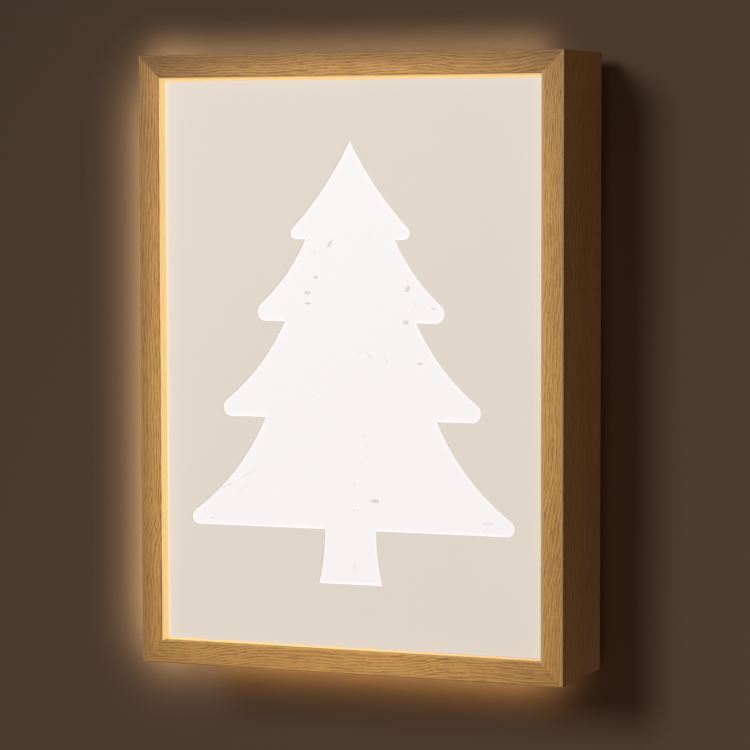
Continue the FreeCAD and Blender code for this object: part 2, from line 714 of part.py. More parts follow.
draw_box(panel_outline, lower_lead_x - hole_across, lower_lead_x + hole_across,
         lower_lead_level - hole_thick, lower_lead_level + hole_thick)
pad(panel, panel_outline, size.panel_thick)
half_slot = size.slot_width / 2
first_slot = -size.slots_apart * (size.slot_count - 1) / 2
for slot_name, slot_z in (("upper_slot", size.slot_rise), ("lower_slot", -size.slot_drop)):
    slot = new_sketch(panel, slot_name, "XZ_Plane", x=first_slot, y=slot_z)
    draw_box(slot, -half_slot, half_slot, -size.slot_length / 2, size.slot_length / 2)
    repeat(panel, pocket(panel, slot), "X_Axis", size.slot_count, size.slots_apart)
place(panel, 0, rear_edge, box_middle)

grommet = new_body("cable_grommet")
grommet_profile = new_sketch(grommet, "profile", "XY_Plane")
grommet_front = -size.panel_thick - size.grommet_lip
draw(grommet_profile, [
    (size.grommet_bore, size.grommet_lip),
    (size.grommet_flange, size.grommet_lip),
    (size.grommet_flange, 0),
    (size.grommet_neck, 0),
    (size.grommet_neck, -size.panel_thick),
    (size.grommet_flange, -size.panel_thick),
    (size.grommet_flange, grommet_front),
    (size.grommet_bore, grommet_front),
])
revolve(grommet, grommet_profile)
place(grommet, 0, rear_edge, box_middle - size.grommet_drop)


# Hanging rail and wall cleat: their bevels hook into each other
def sunk_hole(body, name, x, z, mouth, far, radius, sink, out):
    """A countersunk hole along Y from its mouth to its far end. out is where the mouth points."""
    sketch = new_sketch(body, name, "XY_Plane", x=x, z=z)
    beyond = sink * out
    draw(sketch, [
        (0, far - beyond),
        (radius, far - beyond),
        (radius, mouth - (sink - radius) * out),
        (sink, mouth),
        (sink, mouth + beyond),
        (0, mouth + beyond),
    ])
    revolve(body, sketch, cut=True)


rail_half_length = outer_width / 2 - rebate_edge - size.rail_play
rail_rear = -size.rail_standoff
rail_screw_z = box_middle + screw_half_z
rail = new_body("hanging_rail")
rail_section = new_sketch(rail, "section", "YZ_Plane")
draw(rail_section, [
    (panel_face, tuck_top),
    (tuck_face, tuck_top),
    (tuck_face, rail_nose),
    (rail_rear, rail_tip),
    (rail_rear, rail_top),
    (panel_face, rail_top),
])
pad(rail, rail_section, rail_half_length * 2, both_ways=True)
for side, side_name in ((1, "right"), (-1, "left")):
    sunk_hole(rail, side_name + "_hole", screw_half_x * side, rail_screw_z, rail_rear, panel_face,
              screw_hole, size.screw_head + size.screw_play, 1)
place(rail)

rail_screws = new_body("rail_screws")
rail_screw_profile = new_sketch(rail_screws, "profile", "XY_Plane")
draw(rail_screw_profile, [
    (0, 0),
    (size.screw_head, 0),
    (size.screw_radius, size.screw_radius - size.screw_head),
    (size.screw_radius, -size.rail_screw_length),
    (0, -size.rail_screw_length),
])
repeat(rail_screws, revolve(rail_screws, rail_screw_profile), "X_Axis", 2, screw_half_x * 2)
place(rail_screws, -screw_half_x, rail_rear, rail_screw_z)

cleat = new_body("wall_cleat")
cleat_section = new_sketch(cleat, "section", "YZ_Plane")
draw(cleat_section, [
    (-size.cleat_thick, -cleat_top),
    (0, -cleat_top),
    (0, cleat_top - size.cleat_thick),
    (-size.cleat_thick, cleat_top),
])
pad(cleat, cleat_section, size.cleat_length, both_ways=True)
for side, side_name in ((1, "right"), (-1, "left")):
    sunk_hole(cleat, side_name + "_hole", size.cleat_holes_apart / 2 * side, 0, -size.cleat_thick, 0,
              size.cleat_hole_radius, size.cleat_sink_radius, -1)
place(cleat)

# Battens, felt bumpers and the strips that light the wall round the box
turn_swing = block_middle + size.turn_reach + size.turn_radius + size.batten_clear
batten_low = box_bottom + turn_swing
batten_high = rail_tip - size.batten_drop
batten_half_length = outer_width / 2 - turn_swing
strip_middle = (rear_edge + batten_rear) / 2
strip_front = strip_middle - size.strip_width / 2
strip_rear = strip_middle + size.strip_width / 2
strip_top_half = rail_half_length - size.strip_end
strip_bottom_half = batten_half_length - size.strip_end
strip_low = batten_low + size.strip_end
strip_high = batten_high - size.strip_end

part_box("bottom_batten", (-batten_half_length, rear_edge, batten_outer_z),
         (batten_half_length, batten_rear, batten_outer_z + size.batten_width))
part_box("glow_strip_top", (-strip_top_half, strip_front, rail_top),
         (strip_top_half, strip_rear, rail_top + size.strip_thick))
part_box("glow_strip_bottom", (-strip_bottom_half, strip_front, batten_outer_z - size.strip_thick),
         (strip_bottom_half, strip_rear, batten_outer_z))
for side, side_name in ((1, "right"), (-1, "left")):
    inner_x = batten_outer_x - size.batten_width
    outer_x = batten_outer_x + size.strip_thick
    batten_x = (inner_x, batten_outer_x) if side > 0 else (-batten_outer_x, -inner_x)
    strip_x = (batten_outer_x, outer_x) if side > 0 else (-outer_x, -batten_outer_x)
    part_box("side_batten_" + side_name, (batten_x[0], rear_edge, batten_low),
             (batten_x[1], batten_rear, batten_high))
    part_box("glow_strip_" + side_name, (strip_x[0], strip_front, strip_low),
             (strip_x[1], strip_rear, strip_high))
    bumper_x = (batten_half_length - size.bumper_end) * side
    bumper_low = batten_outer_z + (size.batten_width - size.bumper_side) / 2
    part_box("felt_bumper_" + side_name, (bumper_x - size.bumper_side / 2, batten_rear, bumper_low),
             (bumper_x + size.bumper_side / 2, 0, bumper_low + size.bumper_side))

glow = new_body("glow_chips")


def glow_row(name, plane, level, start, middle, span, count, along_first, role, backwards):
    """A row of light sources on a glow strip, from one end's first source to the other's."""
    sketch = new_sketch(glow, name, plane, z=level)
    half_long = size.glow_chip_length / 2
    half_wide = size.glow_chip_width / 2
    if along_first:
        draw_box(sketch, start - half_long, start + half_long, middle - half_wide, middle + half_wide)
    else:
        draw_box(sketch, middle - half_wide, middle + half_wide, start - half_long, start + half_long)
    chip_pad = pad(glow, sketch, size.glow_chip_thick, backwards=backwards)
    repeat(glow, chip_pad, role, count, span / (count - 1))


top_reach = strip_top_half - size.glow_chip_end
bottom_reach = strip_bottom_half - size.glow_chip_end
side_start = strip_low + size.glow_chip_end
side_span = strip_high - strip_low - size.glow_chip_end * 2
glow_row("top_row", "XY_Plane", rail_top + size.strip_thick, -top_reach, strip_middle,
         top_reach * 2, size.glow_across_count, True, "X_Axis", False)
glow_row("bottom_row", "XY_Plane", batten_outer_z - size.strip_thick, -bottom_reach, strip_middle,
         bottom_reach * 2, size.glow_across_count, True, "X_Axis", True)
glow_row("right_row", "YZ_Plane", batten_outer_x + size.strip_thick, side_start, strip_middle,
         side_span, size.glow_upright_count, False, "Z_Axis", False)
glow_row("left_row", "YZ_Plane", -batten_outer_x - size.strip_thick, side_start, strip_middle,
         side_span, size.glow_upright_count, False, "Z_Axis", True)
place(glow)

# Turn buttons: each swivels on a screw in a lower corner block and holds the panel's corner
turn_rear = rear_edge + size.turn_lift + size.turn_thick
turn_z = box_middle - screw_half_z
for side, side_name, turn in ((1, "right", -135), (-1, "left", -45)):
    button = new_body("turn_button_" + side_name)
    button_outline = new_sketch(button, "outline", "XZ_Plane")
    draw(button_outline, [
        (0, -size.turn_radius),
        (size.turn_reach, -size.turn_radius),
        (size.turn_reach + size.turn_radius, 0),
        (size.turn_reach, size.turn_radius),
        (0, size.turn_radius),
        (-size.turn_radius, 0),
    ], {side: (size.turn_radius, "left") for side in (1, 2, 4, 5)})
    draw_circle(button_outline, 0, 0, screw_hole)
    pad(button, button_outline, size.turn_thick)
    place(button, screw_half_x * side, turn_rear, turn_z, turn)
pan_screws("turn_button_screws", size.screw_length, -screw_half_x, turn_rear + size.turn_lift, turn_z,
           pitch_x=screw_half_x * 2, out=1)

# Switch: the barrel passes through the bottom board, the nut clamps it, and the button slides in its bore
switch_housing = new_body("switch_housing")
switch_profile = new_sketch(switch_housing, "profile", "XZ_Plane")
stem_bore = size.stem_radius + size.button_play
draw(switch_profile, [
    (size.switch_bore, -size.switch_lip),
    (size.switch_flange, -size.switch_lip),
    (size.switch_flange, 0),
    (size.switch_radius, 0),
    (size.switch_radius, size.switch_length),
    (0, size.switch_length),
    (0, size.stem_bore_depth),
    (stem_bore, size.stem_bore_depth),
    (stem_bore, size.switch_bore_depth),
    (size.switch_bore, size.switch_bore_depth),
])
revolve(switch_housing, switch_profile)
blades = new_sketch(switch_housing, "blades", "XY_Plane", z=size.switch_length)
for side in (1, -1):
    blade_x = size.poles_apart / 2 * side
    draw_box(blades, blade_x - size.blade_width / 2, blade_x + size.blade_width / 2,
             -size.blade_thick / 2, size.blade_thick / 2)
pad(switch_housing, blades, size.blade_length)
place(switch_housing, switch_x, wire_y, box_bottom)

nut = new_body("switch_nut")
nut_outline = new_sketch(nut, "outline", "XY_Plane")
nut_corner = size.nut_across / math.sqrt(3)
flat_x = nut_corner / 2
flat_y = size.nut_across / 2
draw(nut_outline, [(nut_corner, 0), (flat_x, flat_y), (-flat_x, flat_y),
                   (-nut_corner, 0), (-flat_x, -flat_y), (flat_x, -flat_y)])
draw_circle(nut_outline, 0, 0, size.switch_radius + size.screw_play)
pad(nut, nut_outline, size.nut_thick)
place(nut, switch_x, wire_y, box_bottom + size.board_thick)

push = new_body("switch_button")
push_profile = new_sketch(push, "profile", "XZ_Plane")
cap_radius = size.switch_bore - size.button_play
cap_face = -size.switch_lip - size.button_out
stem_top = size.button_in + size.stem_length
draw(push_profile, [
    (0, cap_face),
    (cap_radius - size.button_chamfer, cap_face),
    (cap_radius, cap_face + size.button_chamfer),
    (cap_radius, size.button_in),
    (size.stem_radius, size.button_in),
    (size.stem_radius, stem_top),
    (0, stem_top),
])
revolve(push, push_profile)
place(push, switch_x, wire_y, box_bottom)


# Round wires: straight from the driver to the terminal block, and from there to the switch
def round_wires(label, x, low, high):
    """Two wires one pole apart, from one height to another."""
    pair = new_body(label)
    section = new_sketch(pair, "section", "XY_Plane")
    for side in (1, -1):
        draw_circle(section, size.poles_apart / 2 * side, 0, size.wire_radius)
    pad(pair, section, high - low)
    place(pair, x, wire_y, low)


round_wires("driver_wires", driver_x, terminal_z + terminal_half - size.wire_entry,
            driver_z - size.driver_length / 2)
round_wires("switch_wires", switch_x, box_bottom + size.switch_length + size.blade_length,
            terminal_z - terminal_half + size.wire_entry)


# Flat two-core leads: straight runs joined by tangent arcs
def lead_solid(route, across):
    """One lead along a route. across is the direction of its width where it starts."""
    points = [FreeCAD.Vector(number(x), number(y), number(z)) for x, y, z in route]
    bend = size.lead_bend.value
    edges = []
    start = points[0]
    for before, corner, after in zip(points, points[1:], points[2:]):
        inward = (corner - before).normalize()
        outward = (after - corner).normalize()
        half_turn = inward.getAngle(outward) / 2
        tangent = bend * math.tan(half_turn)
        centre = corner + (outward - inward).normalize() * (bend / math.cos(half_turn))
        middle = centre + (corner - centre).normalize() * bend
        arc_start = corner - inward * tangent
        arc_end = corner + outward * tangent
        edges.append(Part.LineSegment(start, arc_start).toShape())
        edges.append(Part.Arc(arc_start, middle, arc_end).toShape())
        start = arc_end
    edges.append(Part.LineSegment(start, points[-1]).toShape())
    ahead = (points[1] - points[0]).normalize()
    half_width = across * (size.lead_width.value / 2)
    half_thick = ahead.cross(across) * (size.lead_thick.value / 2)
    corners = [points[0] + half_width * along + half_thick * over
               for along, over in ((1, 1), (1, -1), (-1, -1), (-1, 1), (1, 1))]
    return Part.Wire(edges).makePipeShell([Part.makePolygon(corners)], True, False)


def leads(label, across, routes):
    """A bundle of leads, whose shape reads its sizes from the spreadsheet's values."""
    bundle = keep(doc.addObject("Part::Feature", label), label)
    bundle.Shape = Part.makeCompound([lead_solid(route, across) for route in routes])


sideways = FreeCAD.Vector(1, 0, 0)
wallwards = FreeCAD.Vector(0, 1, 0)
feed_y = plate_rear + size.lead_lift
leads("led_lead", sideways, [[
    (feed_x, feed_y, driver_top),
    (feed_x, feed_y, feed_z),
    (feed_x, plate_face, feed_z),
]])

# Two leads lie on the light plate: one to the right glow strip, and one down to the bottom glow strip
flat_y = plate_rear + size.lead_lie + size.lead_thick / 2
outer_lead = driver_half_height - size.lead_outer
glow_lead_end = strip_front + size.lead_stop
side_lead = [
    (driver_x + inner_lead, flat_y, driver_top),
    (driver_x + inner_lead, flat_y, side_lead_z),
    (side_lead_x, flat_y, side_lead_z),
    (side_lead_x, glow_lead_end, side_lead_z),
]
lower_lead = [
    (driver_x - outer_lead, flat_y, driver_top),
    (driver_x - outer_lead, flat_y, side_lead_z),
    (lower_lead_x, flat_y, side_lead_z),
    (lower_lead_x, flat_y, lower_lead_z),
    (lower_lead_x, glow_lead_end, lower_lead_z),
]
leads("glow_leads", sideways, [side_lead, lower_lead])

# At the upper corners a lead passes each end of the hanging rail, on the boards' rear edges
link_x = (outer_width / 2 + rail_half_length) / 2
link_y = rear_edge + size.lead_lie + size.lead_width / 2
link_z = rail_top + strip_lead
leads("glow_links", wallwards, [[
    (side_lead_x * side, link_y, strip_high - size.lead_lap),
    (side_lead_x * side, link_y, batten_high),
    (link_x * side, link_y, batten_high),
    (link_x * side, link_y, link_z),
    ((strip_top_half - size.lead_lap) * side, link_y, link_z),
] for side in (1, -1)])

# Every object has to be sound before anything is written
doc.recompute()
for thing in doc.Objects:
    if "Invalid" in thing.State or "Error" in thing.State:
        raise ValueError(thing.Name + " did not build: " + ", ".join(thing.State))
for thing in subparts:
    if thing.Shape.isNull() or not thing.Shape.isValid() or not thing.Shape.Solids:
        raise ValueError(thing.Label + " has no sound shape")

os.makedirs("parts", exist_ok=True)
for thing in subparts:
    thing.Shape.exportStep("parts/" + thing.Label + ".step")
print(len(subparts), "sub-parts,", sum(len(thing.Shape.Solids) for thing in subparts), "solids")
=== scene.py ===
# %% [markdown]
# # An oak picture lamp, dressed for the camera
#
# The lamp is a flat box of four mitred oak boards that hangs on a wooden cleat. A sheet of card with a
# fir-tree window closes the front, a lit opal sheet shows as a thin bright line round it, and light
# strips at the rear throw a warm glow on the wall.
#
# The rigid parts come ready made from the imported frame, each in its own place, so this script gives them
# their finishes and adds the small things that are easier to shape in mesh code: threaded screws, felt,
# flecks in the paper, and the resistors and solder pads of the light strips. All lengths are in metres, x
# runs to the right, y into the wall and z up.

# %% Load the frame
import math
import random

import bmesh
import bpy
from mathutils import Matrix, Vector


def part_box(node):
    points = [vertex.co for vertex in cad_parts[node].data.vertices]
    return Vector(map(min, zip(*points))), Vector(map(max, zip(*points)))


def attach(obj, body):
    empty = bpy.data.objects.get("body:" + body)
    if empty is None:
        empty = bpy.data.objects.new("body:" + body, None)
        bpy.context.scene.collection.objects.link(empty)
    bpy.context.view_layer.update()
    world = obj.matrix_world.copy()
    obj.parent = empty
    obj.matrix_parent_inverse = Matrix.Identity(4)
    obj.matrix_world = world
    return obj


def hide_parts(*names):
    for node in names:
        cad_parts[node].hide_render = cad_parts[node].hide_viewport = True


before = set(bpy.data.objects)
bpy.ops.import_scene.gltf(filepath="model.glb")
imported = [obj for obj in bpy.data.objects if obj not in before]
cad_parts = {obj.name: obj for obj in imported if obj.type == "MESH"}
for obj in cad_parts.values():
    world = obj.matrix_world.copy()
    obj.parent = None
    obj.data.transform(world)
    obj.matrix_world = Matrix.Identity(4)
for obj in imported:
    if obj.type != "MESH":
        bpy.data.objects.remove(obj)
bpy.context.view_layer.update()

# %% [markdown]
# ## The camera
#
# A camera can be aimed by eye, or worked out from the picture. The four front corners of the box and its
# two right rear corners were marked in the photograph, and one place, one direction and one focal length
# were sought that suit them all. The front corners land within three pixels. The view is from the lamp's
# right and above its middle, from far enough away that the box hardly tapers. The print shows where the
# corners land in a 750 pixel picture.

# %% Place the camera
PICTURE_SIDE = 750
FOCAL_PIXELS = 3093
SENSOR_WIDTH = 36.0
TURN, TILT, ROLL = (math.radians(degrees) for degrees in (21.53, 90.0 - 3.92, -0.116))

scene = bpy.context.scene
lens_data = bpy.data.cameras.new("camera")
lens_data.sensor_width = SENSOR_WIDTH
lens_data.lens = SENSOR_WIDTH * FOCAL_PIXELS / PICTURE_SIDE
lens_data.clip_start = 0.05
lens_data.clip_end = 40.0


def add_object(name, data):
    """Puts a mesh, a light or a camera into the scene."""
    added = bpy.data.objects.new(name, data)
    scene.collection.objects.link(added)
    return added


camera = add_object("camera", lens_data)
camera.location = (0.603, -1.5655, 0.0014)
camera.rotation_euler = (Matrix.Rotation(TURN, 3, "Z") @ Matrix.Rotation(TILT, 3, "X")
                         @ Matrix.Rotation(ROLL, 3, "Z")).to_euler()
scene.camera = camera
bpy.context.view_layer.update()


def pixel_of(point):
    """Where a point lands in the picture, in pixels from its upper left corner."""
    seen = camera.matrix_world.inverted() @ Vector(point)
    scale = FOCAL_PIXELS / -seen.z
    return round(PICTURE_SIDE / 2 + seen.x * scale, 1), round(PICTURE_SIDE / 2 - seen.y * scale, 1)


left_board, right_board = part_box("side_board_left"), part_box("side_board_right")
top_board, bottom_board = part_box("top_board"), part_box("bottom_board")
box_low = Vector((left_board[0].x, left_board[0].y, bottom_board[0].z))
box_high = Vector((right_board[1].x, top_board[1].y, top_board[1].z))
for level, z in (("top", box_high.z), ("bottom", box_low.z)):
    print("front", level, "left", pixel_of((box_low.x, box_low.y, z)))
    print("front", level, "right", pixel_of((box_high.x, box_low.y, z)))
    print("rear", level, "right", pixel_of((box_high.x, box_high.y, z)))

# %% [markdown]
# ## Colours as they are seen
#
# Colours were read as screen values from 0 to 255, but a shader works with linear light. A colour
# picker would convert them one by one. One function does it for every finish, so the numbers in this
# script stay comparable with the picture. The plain "Standard" view keeps them from being bent again.


# %% Convert screen colours
def screen(red, green, blue):
    """A screen colour, 0 to 255, as linear light."""
    shares = [value / 255 for value in (red, green, blue)]
    return tuple(s / 12.92 if s <= 0.04045 else ((s + 0.055) / 1.055) ** 2.4 for s in shares)


scene.view_settings.view_transform = "Standard"
print("beige as light:", [round(value, 3) for value in screen(225, 215, 203)])

# %% [markdown]
# ## Shader arithmetic
#
# A finish is a network of nodes, and wiring it by hand hides the thought behind it. The class Socket
# stands for one output of a node. Adding, multiplying or comparing sockets in Python adds the Math nodes
# that do it, so a mask reads like a formula. The class Finish holds the material. Its method "node" adds
# every other kind of node, and "surface" feeds what nearly every finish varies.


# %% Wrap a socket
class Socket:
    """One output of a node. Arithmetic on it adds Math nodes to its finish."""

    def __init__(self, finish, output):
        self.finish = finish
        self.output = output

    def maths(self, operation, first, second=0.0):
        return self.finish.node("ShaderNodeMath", {"operation": operation}, {0: first, 1: second})

    def __add__(self, other):
        return self.maths("ADD", self, other)

    def __sub__(self, other):
        return self.maths("SUBTRACT", self, other)

    def __rsub__(self, other):
        return self.maths("SUBTRACT", other, self)

    def __mul__(self, other):
        return self.maths("MULTIPLY", self, other)

    def __truediv__(self, other):
        return self.maths("DIVIDE", self, other)

    def __pow__(self, other):
        return self.maths("POWER", self, other)

    def __abs__(self):
        return self.maths("ABSOLUTE", self)

    __radd__ = __add__
    __rmul__ = __mul__


print("sockets can be added, subtracted, multiplied, divided and raised to a power")

# %% Build a finish
class Finish:
    """A material in the making: its nodes, the shader that they feed, and a point's place on the piece."""

    def __init__(self, name, specular=0.5, **constants):
        self.material = bpy.data.materials.new(name)
        self.material.use_nodes = True
        self.tree = self.material.node_tree
        self.shader = self.tree.nodes["Principled BSDF"]
        self.shader.inputs["Specular IOR Level"].default_value = specular
        for socket, value in constants.items():
            self.shader.inputs[socket.replace("_", " ")].default_value = value
        self.place = self.node("ShaderNodeTexCoord", output="Object")

    def node(self, kind, settings=None, sockets=None, output=0):
        """Adds a node: its settings first, then what its sockets take. Gives back one of its outputs."""
        made = self.tree.nodes.new(kind)
        for name, value in (settings or {}).items():
            if name == "stops":
                ramp = made.color_ramp
                while len(ramp.elements) < len(value):
                    ramp.elements.new(0.5)
                for element, (position, level) in zip(ramp.elements, value):
                    element.position = position
                    element.color = (level, level, level, 1.0)
            else:
                setattr(made, name, value)
        for socket, value in (sockets or {}).items():
            self.feed(made.inputs[socket], value)
        return Socket(self, made.outputs[output])

    def feed(self, entry, value):
        """Links a socket to an entry, or sets the entry to a plain value."""
        if isinstance(value, Socket):
            self.tree.links.new(value.output, entry)
        else:
            entry.default_value = value

    def give(self, entry, value):
        """Feeds one of the shader's own sockets with something that varies."""
        self.feed(self.shader.inputs[entry], value)

    def surface(self, colour, roughness, height, depth):
        """Feeds colour, roughness and bumps, from a height of 0 to 1 and their depth in metres.

        Gives back the material.
        """
        self.give("Base Color", colour)
        self.give("Roughness", roughness)
        bumps = {"Height": height, "Distance": depth, "Strength": 1.0}
        self.give("Normal", self.node("ShaderNodeBump", None, bumps))
        return self.material


print("finishes can be built: nodes first, then what varies over the surface")

# %% [markdown]
# ## Patterns that every finish uses
#
# Most real surfaces can be told by a few patterns: where a point is, noise that is stretched along one
# direction, a soft step, and a blend of two colours. Object coordinates are used for the place, because
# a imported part's own coordinates are the frame's, so a pattern can be tied to the real edges of a board.
# They also move with the part when it is posed.


# %% Patterns
def axes_of(finish, vector=None):
    """The three numbers of a vector, or of the point's place."""
    parts = finish.node("ShaderNodeSeparateXYZ", sockets={0: vector or finish.place})
    outputs = parts.output.node.outputs
    return [Socket(finish, outputs[axis]) for axis in "XYZ"]


def vector_of(finish, x, y, z):
    """Three numbers as one vector."""
    return finish.node("ShaderNodeCombineXYZ", sockets={0: x, 1: y, 2: z})


def stretched(finish, vector, pitch):
    """A vector, or the point's place, in pitches. A pitch is in metres, for all axes or for each."""
    pitches = pitch if isinstance(pitch, tuple) else (pitch,) * 3
    sockets = {0: vector or finish.place, 1: tuple(1.0 / value for value in pitches)}
    return finish.node("ShaderNodeVectorMath", {"operation": "MULTIPLY"}, sockets)


def noise(finish, pitch, detail=2.0, roughness=0.5, at=None):
    """Soft random values round a half, about one swell to a pitch."""
    vector = stretched(finish, at, pitch)
    sockets = {"Vector": vector, "Scale": 1.0, "Detail": detail, "Roughness": roughness}
    return finish.node("ShaderNodeTexNoise", None, sockets)


def step(value, low, high):
    """0 below low, 1 above high, and smooth between them. Low may be the higher of the two."""
    flip = low > high
    sockets = {0: value, 1: min(low, high), 2: max(low, high), 3: float(flip), 4: float(not flip)}
    return value.finish.node("ShaderNodeMapRange", {"interpolation_type": "SMOOTHSTEP"}, sockets)


def ramp(value, stops):
    """A value led through a list of places and levels."""
    return value.finish.node("ShaderNodeValToRGB", {"stops": stops}, {0: value})


def blend(factor, first, second):
    """First where the factor is 0, second where it is 1."""
    colours = [(*colour, 1.0) if isinstance(colour, tuple) else colour for colour in (first, second)]
    settings = {"data_type": "RGBA", "clamp_factor": True}
    sockets = {0: factor, 6: colours[0], 7: colours[1]}
    return factor.finish.node("ShaderNodeMix", settings, sockets, output=2)


def larger(first, second):
    """The larger of two values."""
    return first.maths("MAXIMUM", first, second)


def fraction(value):
    """What a value has beyond its whole number, so that it climbs from 0 to 1 again and again."""
    return value.maths("FRACT", value)


print("patterns ready")

# %% [markdown]
# ## Oak boards
#
# Sawn oak shows growth rings as lines along the board, dark where the spring's open pores are and pale
# where the denser summer wood is. A picture of oak could be wrapped round the boards, but it would run
# across the mitres in the wrong direction. Here the rings are worked out: distance across the board is
# bent by slow noise and cut into years, and each year runs from dark to pale. Pores are short dark
# dashes, thickest at the start of a year, and they are pressed into the surface.
#
# The boards share two functions: one for what grew, and one for the painted shade and light on it.
# Both take the direction of the grain, and a seed gives every board its own place in the noise, so the
# grain turns the corner at every mitre as it does in a real frame.

# %% Measures of the opening
opening_low = Vector((left_board[1].x, 0.0, bottom_board[1].z))
opening_high = Vector((right_board[0].x, 0.0, top_board[0].z))
picture_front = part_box("art_panel")[0].y
board_front = box_low.y
board_thick = opening_low.x - box_low.x
opening_middle = (opening_low + opening_high) / 2
opening_half = (opening_high - opening_low) / 2
print("board", round(board_thick * 1000, 1), "mm thick")
print("lip", round((picture_front - board_front) * 1000, 1), "mm")


# %% Rings and pores
OAK_DARK = screen(151, 101, 47)
OAK_PALE = screen(206, 153, 83)
OAK_PORE = screen(118, 77, 35)
YEAR = 0.0013
HEART = 0.05


def along_grain(finish, along, offset):
    """Length, width and depth in a board whose grain runs along x or z, and its own place in the noise."""
    x, y, z = axes_of(finish)
    length, width = (x, z) if along == "x" else (z, x)
    sockets = {0: vector_of(finish, width, y, length), 1: offset}
    return length, width, y, finish.node("ShaderNodeVectorMath", {"operation": "ADD"}, sockets)


def oak_growth(finish, along, seed, slope):
    """What grew: the board's place in the noise, and its spring wood, fibres, pores and colour.

    Slope is how far the rings drift across the board along its length. The tree's heart lay in front of
    the board, HEART away.
    """
    length, width, y, board = along_grain(finish, along, (seed * 0.37, seed * 0.11, seed * 0.53))
    middle = opening_middle.z if along == "x" else 0.0

    drift = noise(finish, (0.060, 0.090, 0.080), detail=1.0, at=board) - 0.5
    ripple = noise(finish, (0.008, 0.016, 0.014), at=board) - 0.5
    across = abs(width - middle) * 0.8 + length * slope + drift * 0.016 + ripple * 0.0021
    deep = y + (box_high.y - box_low.y) + HEART
    radius = (across * across + deep * deep) ** 0.5
    spacing = noise(finish, (0.006, 1.0, 1.0), at=vector_of(finish, radius, 0.0, 0.0)) - 0.5
    ring = fraction(radius / YEAR + spacing * 1.6 + seed)
    stops = [(0.0, 0.62), (0.16, 1.0), (0.42, 0.60), (0.70, 0.18), (0.88, 0.0), (1.0, 0.62)]
    early = ramp(ring, stops)

    fibre = noise(finish, (0.00045, 0.00045, 0.020), detail=3.0, roughness=0.65, at=board)
    patch = noise(finish, (0.020, 0.030, 0.070), at=board)
    dash = noise(finish, (0.00028, 0.00028, 0.0042), detail=1.0, at=board)
    pores = step(dash + early * 0.14, 0.66, 0.76)
    streak = noise(finish, (0.00065, 0.00065, 0.0085), at=board)
    vessels = step(streak + early * 0.10, 0.60, 0.74)

    tone = early * 0.44 + (fibre - 0.5) * 0.45 + (streak - 0.5) * 0.70 + (patch - 0.5) * 0.60 + 0.07
    colour = blend(tone, OAK_PALE, OAK_DARK)
    colour = blend(larger(pores * 0.38, vessels * 0.42), colour, OAK_PORE)
    return board, early, fibre, pores, colour


print("growth rings across a board:", round(board_thick / YEAR))

# %% Painted shade, painted highlights and the lit lip
# Colours for painted shade, painted light on the inner edge, a painted arris highlight and the lip's glow.
OAK_SHADE = screen(100, 66, 32)
OAK_INNER_LIT = screen(180, 150, 98)
OAK_ARRIS_HIGHLIGHT = screen(196, 164, 126)
LAMP_LIGHT = (1.0, 0.79, 0.37)
UNLIT = (0.0, 0.0, 0.0)
FACE_DEPTH = 0.004


def into_board(x, z):
    """How far a point lies into the frame from the opening's edge, and how far it is from a mitre."""
    beside = abs(x - opening_middle.x) - opening_half.x
    above = abs(z - opening_middle.z) - opening_half.z
    return larger(beside, above), abs(beside - above)


def oak(name, along, seed, slope=0.0, shade=0.3, ends=0.2, lean=0.0, lit=0.3, wear_and_highlight=0.15, inner_lit=0.0):
    """An oiled oak finish with its grain along x or z.

    Shade is how much painted shade darkens the outer edge, ends how much painted shade darkens the
    board's ends, lean moves the palest place along the board, and lit is how strongly the margin's light is
    painted on its lip as a glow. Its wear_and_highlight is how strongly a painted highlight lightens the
    outer arris, and inner_lit how strongly painted lamp light lightens the inner one.
    """
    finish = Finish(name, specular=0.22, Emission_Strength=1.0)
    board, early, fibre, pores, colour = oak_growth(finish, along, seed, slope)
    x, y, z = axes_of(finish)
    lying, upright = (x, 0.0, opening_half.x), (z, opening_middle.z, opening_half.z)
    length, centre, half = lying if along == "x" else upright

    inward, from_mitre = into_board(x, z)
    outer = step(inward, board_thick * 0.15, board_thick)
    front = step(y, board_front + FACE_DEPTH, board_front + 0.001)
    toward_end = abs(length - centre - lean) / half
    toward_wall = step(y, board_front + FACE_DEPTH, box_high.y)
    eased = step(inward, 0.0022, 0.0014) * front
    joint = step(from_mitre, 0.00018, 0.00004)
    arris = step(inward - (y - board_front), board_thick - 0.0011, board_thick - 0.0005)
    highlight_patches = noise(finish, (0.004, 0.004, 0.012), at=board)
    # Painted shade darkens the outer edge, the board's ends and the side towards the wall. Painted lamp
    # light lightens the eased inner edge, the dark mitre joint is the wood's own, and a painted highlight
    # lightens the outer arris.
    for share, tint in (
        (outer * front * shade, OAK_SHADE),
        (toward_end * toward_end * front * ends, OAK_SHADE),
        (outer * toward_wall * 0.24, OAK_SHADE),
        (eased * inner_lit, OAK_INNER_LIT),
        (joint * 0.35, OAK_PORE),
        (arris * wear_and_highlight * (0.6 + highlight_patches), OAK_ARRIS_HIGHLIGHT),
    ):
        colour = blend(share, colour, tint)

    # The margin's light on the lip is painted in as a glow of the oak's own.
    lip = step(inward, 0.0004, 0.0001) * step(y, picture_front + 0.004, picture_front)
    lip_light = lip * (1.0 - early * 0.10) * lit
    finish.give("Emission Color", blend(lip_light, UNLIT, LAMP_LIGHT))
    roughness = 0.50 + early * 0.10 + (fibre - 0.5) * 0.16 + pores * 0.15
    return finish.surface(colour, roughness, 1.0 - pores * 0.9 - early * 0.25 + fibre * 0.3, 0.00006)


